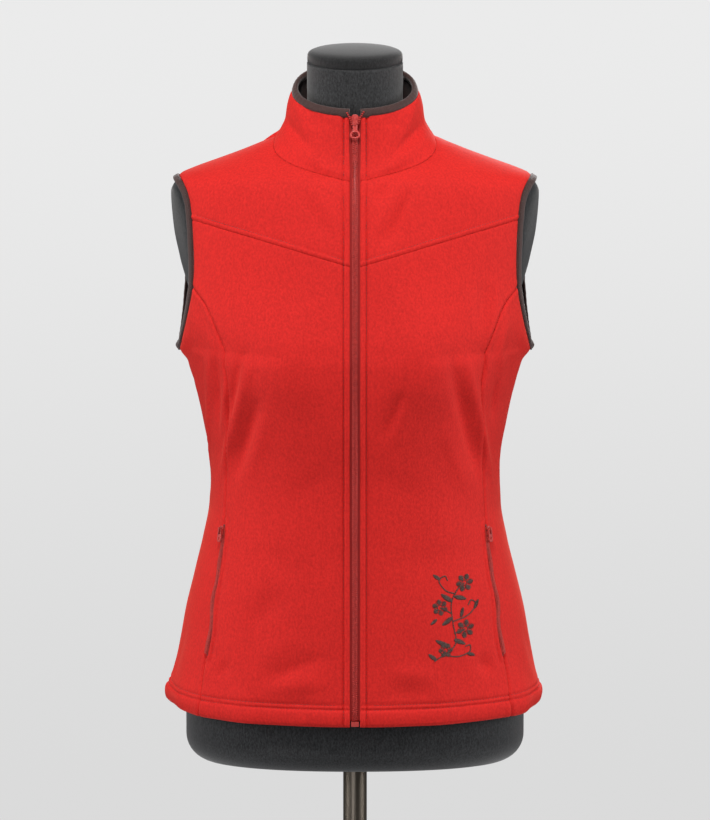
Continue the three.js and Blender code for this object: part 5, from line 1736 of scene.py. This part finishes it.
class VEST_OT_bindings(bpy.types.Operator):
    """Builds the bindings of the collar and the armholes, and the armholes' stitches"""
    bl_idname = "vest.bindings"
    bl_label = "Bindings"

    def execute(self, context):
        trim = trim_material(context)
        # The binding thread's two colours are its painted shade and painted highlight across its
        # turns.
        thread = material_once("trim_thread", make_thread, "brown_binding_thread",
                               colour("#231A1A"), colour("#3A2D2C"))
        rings, loop = armhole_binding_rings()
        for side, sign in SIDES:
            points, faces = tube(rings, True)
            binding = put_mesh(f"armhole_binding_{side}_tape", mirrored(points, sign), faces, trim)
            finish_piece(binding, [f"armhole_binding_{side}"])
            normal = body_normal(loop[:, 0], loop[:, 1])
            inner = on_body(loop) + normal * 0.95
            reach = unit(np.cross(normal, np.roll(inner, -1, 0) - np.roll(inner, 1, 0)))
            path = inner + reach * 1.5
            points, faces = stitch_row(np.concatenate([path, path[:1]]),
                                       np.concatenate([normal, normal[:1]]), 2.9, 2.3, 0.24)
            row = put_mesh(f"armhole_stitching_{side}", mirrored(points, sign), faces, thread)
            finish_piece(row)
        rings = collar_binding_rings()
        binding = put_mesh("collar_binding_tape", *tube(rings, False), trim)
        finish_piece(binding, ["collar_binding"])
        return {"FINISHED"}


class VEST_OT_front_zip(bpy.types.Operator):
    """Builds the front zip: its tapes, coil, stop, slider and pull"""
    bl_idname = "vest.front_zip"
    bl_label = "Front zip"

    def execute(self, context):
        props = context.scene.vest_zip
        tape = material_once("tape", make_woven, "woven_zip_tape",
                             dimmed(props.tape, 0.75), tuple(props.tape), 0.6, 0.85)
        coil = material_once("coil", make_coil, "nylon_zip_coil", props.shade, props.tone)
        enamel = material_once("enamel", make_enamel, "enamelled_zinc", props.shade, props.tone)
        rises = front_rises(ZIP_BOTTOM, 1.0)
        for side, sign in SIDES:
            points, faces = front_ribbon(np.linspace(1.6, 14, 7), rises, -3.0, -3.6)
            piece = put_mesh(f"zip_tape_{side}_woven", mirrored(points, sign), faces, tape)
            finish_piece(piece, [f"zip_tape_{side}"])
        chain = put_mesh("zip_chain_coil", *zip_chain_mesh(), coil)
        finish_piece(chain, ["zip_chain"])
        for node, slim in (("zip_stop", 1), ("zip_slider", SLIDER_SLIM)):
            piece = softened(node, 0.35, enamel)
            places = np.empty(len(piece.data.vertices) * 3)
            piece.data.vertices.foreach_get("co", places)
            places[0::3] *= slim
            piece.data.vertices.foreach_set("co", places)
            finish_piece(piece, [node])
        pull = put_mesh("zip_pull_ring", *front_pull_mesh(), enamel)
        finish_piece(pull, ["zip_pull"], "zip_pull")
        return {"FINISHED"}


class VEST_OT_pocket_zips(bpy.types.Operator):
    """Builds the two seam pockets' zips with their sliders and pulls"""
    bl_idname = "vest.pocket_zips"
    bl_label = "Pocket zips"

    def execute(self, context):
        props = context.scene.vest_zip
        pair = props.pocket_shade, props.pocket_tone
        coil = material_once("pocket_coil", make_coil, "nylon_pocket_coil", *pair)
        enamel = material_once("pocket_enamel", make_enamel, "enamelled_zinc_pocket", *pair)
        for side, sign in SIDES:
            piece = put_mesh(f"pocket_zip_{side}_coil", *pocket_zip_mesh(sign), coil)
            finish_piece(piece, [f"pocket_zip_{side}"])
            for node, body in ((f"pocket_slider_{side}", ROOT_BODY),
                               (f"pocket_pull_{side}", f"pocket_pull_{side}")):
                piece = softened(node, 0.25, enamel)
                finish_piece(piece, [node], body)
        return {"FINISHED"}


class VEST_OT_stitching(bpy.types.Operator):
    """Builds the rows of topstitching on the body and the collar"""
    bl_idname = "vest.stitching"
    bl_label = "Topstitching"

    def execute(self, context):
        thread = seam_thread(context)
        pitch = context.scene.vest_thread.pitch / MM
        rows = {"zip_stitching": zip_stitch_mesh()}
        for side, sign in SIDES:
            above = beside(YOKE_LINE[6:-4], YOKE_STITCH, (0, 0, 1))
            point, normal = surface_of(above, True)
            points, faces = stitch_row(point, normal, pitch)
            rows[f"yoke_stitching_{side}"] = (mirrored(points, sign), faces)
            rows[f"pocket_stitching_{side}"] = pocket_stitch_mesh(sign)
        hem = []
        start = float(zip_angle(850)) + 0.05
        angle = np.linspace(start, 2 * math.pi - start, 900)
        angle = np.where(angle > math.pi, angle - 2 * math.pi, angle)
        for height in HEM_STITCHES:
            z = hem_z(angle) + height
            point, normal = surface_of(line(angle, z), False)
            hem.append(stitch_row(point, normal, pitch))
        rows["hem_stitching"] = joined(hem)
        for name, (points, faces) in rows.items():
            finish_piece(put_mesh(name, points, faces, thread))
        return {"FINISHED"}


class VEST_OT_sprig(bpy.types.Operator):
    """Embroiders a sprig of flowers low on the wearer's left front"""
    bl_idname = "vest.sprig"
    bl_label = "Embroidered sprig"

    def execute(self, context):
        props = context.scene.vest_thread
        thread = material_once("sprig", make_thread, "satin_stitch_thread",
                               tuple(props.sprig_shade), tuple(props.sprig_tone))
        finish_piece(put_mesh("embroidered_sprig", *sprig_mesh(), thread))
        return {"FINISHED"}


class VEST_OT_form(bpy.types.Operator):
    """Builds the covered dress form, its neck cap, pole and base"""
    bl_idname = "vest.form"
    bl_label = "Dress form"

    def execute(self, context):
        props = context.scene.vest_form
        jersey = material_once("jersey", make_jersey, "charcoal_cotton_jersey", props.shade,
                               props.tone)
        # Painted shade: the cap is the form's jersey dimmed to half, which darkens its up-facing
        # dome under the overhead key.
        cap_jersey_painted_shade = material_once("cap", make_jersey, "black_cotton_jersey",
                                   dimmed(props.shade, 0.5), dimmed(props.tone, 0.5))
        body = put_mesh("form_body_cover", *form_body_mesh(), jersey)
        finish_piece(body, ["form_body"])
        rings = neck_ring(np.ones(len(CAP_PROFILE)), CAP_PROFILE[:, 1], CAP_PROFILE[:, 0])
        cap = put_mesh("form_neck_cap_cover", *tube(rings, False), cap_jersey_painted_shade)
        finish_piece(cap, ["form_neck_cap"])
        tube_steel = material_once("tube", make_steel, "brushed_steel_tube",
                                   (colour("#554E46"), colour("#867D72")), 0.26, 0.42,
                                   (900, 900, 14))
        pole = put_mesh("stand_pole_tube", *turned(eased(POLE_PROFILE)), tube_steel)
        finish_piece(pole, ["stand_pole"])
        plate_steel = material_once("plate", make_steel, "satin_steel_plate",
                                    (colour("#85878A"), colour("#B9BBBD")), 0.3, 0.46,
                                    (420, 420, 420))
        base = put_mesh("stand_base_plate", *turned(eased(BASE_PROFILE), 128), plate_steel)
        finish_piece(base, ["stand_base"])
        return {"FINISHED"}


def area_light(name, place, target, size, power, tint="#FFFFFF"):
    """A round lamp that faces its target: size in metres, power in watts."""
    light = bpy.data.lights.new(name, "AREA")
    light.shape = "DISK"
    light.size, light.energy = size, power
    light.color = colour(tint)[:3]
    lamp = bpy.data.objects.new(name, light)
    bpy.context.scene.collection.objects.link(lamp)
    lamp.location = place
    way = np.array(target) - np.array(place)
    lamp.rotation_euler = Vector(way.tolist()).to_track_quat("-Z", "Y").to_euler()


FOCAL_PX, FRAME_PX = 4286, 820     # the lens in pixels, and the frame's longer side
CAMERA_LIFT = 4.5                  # degrees above the level


class VEST_OT_stage(bpy.types.Operator):
    """Sets up the floor, the pale backdrop, the lights and the camera"""
    bl_idname = "vest.stage"
    bl_label = "Stage"

    def execute(self, context):
        scene, props = context.scene, context.scene.vest_stage
        material, tree, shader = new_material("matt_floor_paint", {"Roughness": 0.8})
        grain = add(tree, "ShaderNodeTexNoise", {"Scale": 4, "Detail": 3},
                    {"Vector": stretched(tree)})
        tone = tuple(props.floor)
        tinted(tree, shader, grain.outputs[0], dimmed(tone, 0.97), tone)
        angle = full_turn(96)
        radius = np.array([1.0, 600.0, 1200.0])[:, None]
        rings = np.stack(np.broadcast_arrays(
            radius * np.cos(angle), radius * np.sin(angle), np.array([[-0.4]])), axis=-1)
        floor = put_mesh("floor", rings.reshape(-1, 3), [grid_faces(3, 96, 0, True)], material)
        world = bpy.data.worlds.new("studio")
        scene.world = world
        world.use_nodes = True
        tree = world.node_tree
        tree.nodes.clear()
        way = add(tree, "ShaderNodeTexCoord")
        height = add(tree, "ShaderNodeSeparateXYZ", links={0: way.outputs["Generated"]})
        # Painted shade: the backdrop that the camera sees dims to 0.85 towards its foot, as light
        # falls off down it.
        rise = add(tree, "ShaderNodeMapRange", {"From Min": -0.18, "From Max": 0.02,
                                                "To Min": 0.85, "To Max": 1.0},
                   {"Value": height.outputs["Z"]}, interpolation_type="SMOOTHSTEP")
        seen = add(tree, "ShaderNodeBackground", {"Color": tuple(props.backdrop)},
                   {"Strength": rise.outputs[0]})
        soft = add(tree, "ShaderNodeBackground", {"Color": (1, 1, 1, 1), "Strength": props.ambient})
        path = add(tree, "ShaderNodeLightPath")
        mixed = add(tree, "ShaderNodeMixShader", links={
            0: path.outputs["Is Camera Ray"], 1: soft.outputs[0], 2: seen.outputs[0]})
        add(tree, "ShaderNodeOutputWorld", links={"Surface": mixed.outputs[0]})
        middle = (0, 0, 1.15)
        area_light("key", (-0.1, -1.6, 3.6), middle, 0.8, 66, "#FFFAF6")
        area_light("fill", (-1.1, -3.3, 0.8), middle, 1.6, 12, "#FAFBFF")
        area_light("side_left", (-2.5, -0.6, 1.6), middle, 1.5, 36)
        area_light("side_right", (2.5, -0.6, 1.6), middle, 1.5, 40)
        area_light("back", (0.5, 3.2, 2.6), middle, 1.6, 66)
        camera = bpy.data.cameras.new("camera")
        camera.sensor_width = 36
        camera.lens = FOCAL_PX / FRAME_PX * camera.sensor_width
        holder = bpy.data.objects.new("camera", camera)
        scene.collection.objects.link(holder)
        lift = math.radians(CAMERA_LIFT)
        way = Vector((0, -math.cos(lift), math.sin(lift)))
        holder.location = Vector(middle) + way * props.distance
        holder.rotation_euler = (-way).to_track_quat("-Z", "Y").to_euler()
        scene.camera = holder
        scene.view_settings.view_transform = "Standard"
        return {"FINISHED"}


OPERATORS = [VEST_OT_form, VEST_OT_panels, VEST_OT_collar, VEST_OT_bindings, VEST_OT_front_zip,
             VEST_OT_pocket_zips, VEST_OT_stitching, VEST_OT_sprig, VEST_OT_stage]


class VEST_PT_sidebar(bpy.types.Panel):
    bl_label = "Fleece vest"
    bl_idname = "VEST_PT_sidebar"
    bl_space_type = "VIEW_3D"
    bl_region_type = "UI"
    bl_category = "Vest"

    def draw(self, context):
        for name, group in GROUPS.items():
            box = self.layout.box()
            for prop in group.__annotations__:
                box.prop(getattr(context.scene, name), prop)
        for operator in OPERATORS:
            self.layout.operator(operator.bl_idname)


CLASSES = [*GROUPS.values(), *OPERATORS, VEST_PT_sidebar]


def register():
    """Registers the classes and hangs the settings on the scene."""
    for item in CLASSES:
        bpy.utils.register_class(item)
    for name, group in GROUPS.items():
        setattr(bpy.types.Scene, name, bpy.props.PointerProperty(type=group))


def unregister():
    """Undoes register()."""
    for name in GROUPS:
        delattr(bpy.types.Scene, name)
    for item in reversed(CLASSES):
        bpy.utils.unregister_class(item)


def main():
    """Registers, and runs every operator."""
    register()
    for operator in OPERATORS:
        group, name = operator.bl_idname.split(".")
        getattr(getattr(bpy.ops, group), name)()


if __name__ == "__main__":
    main()
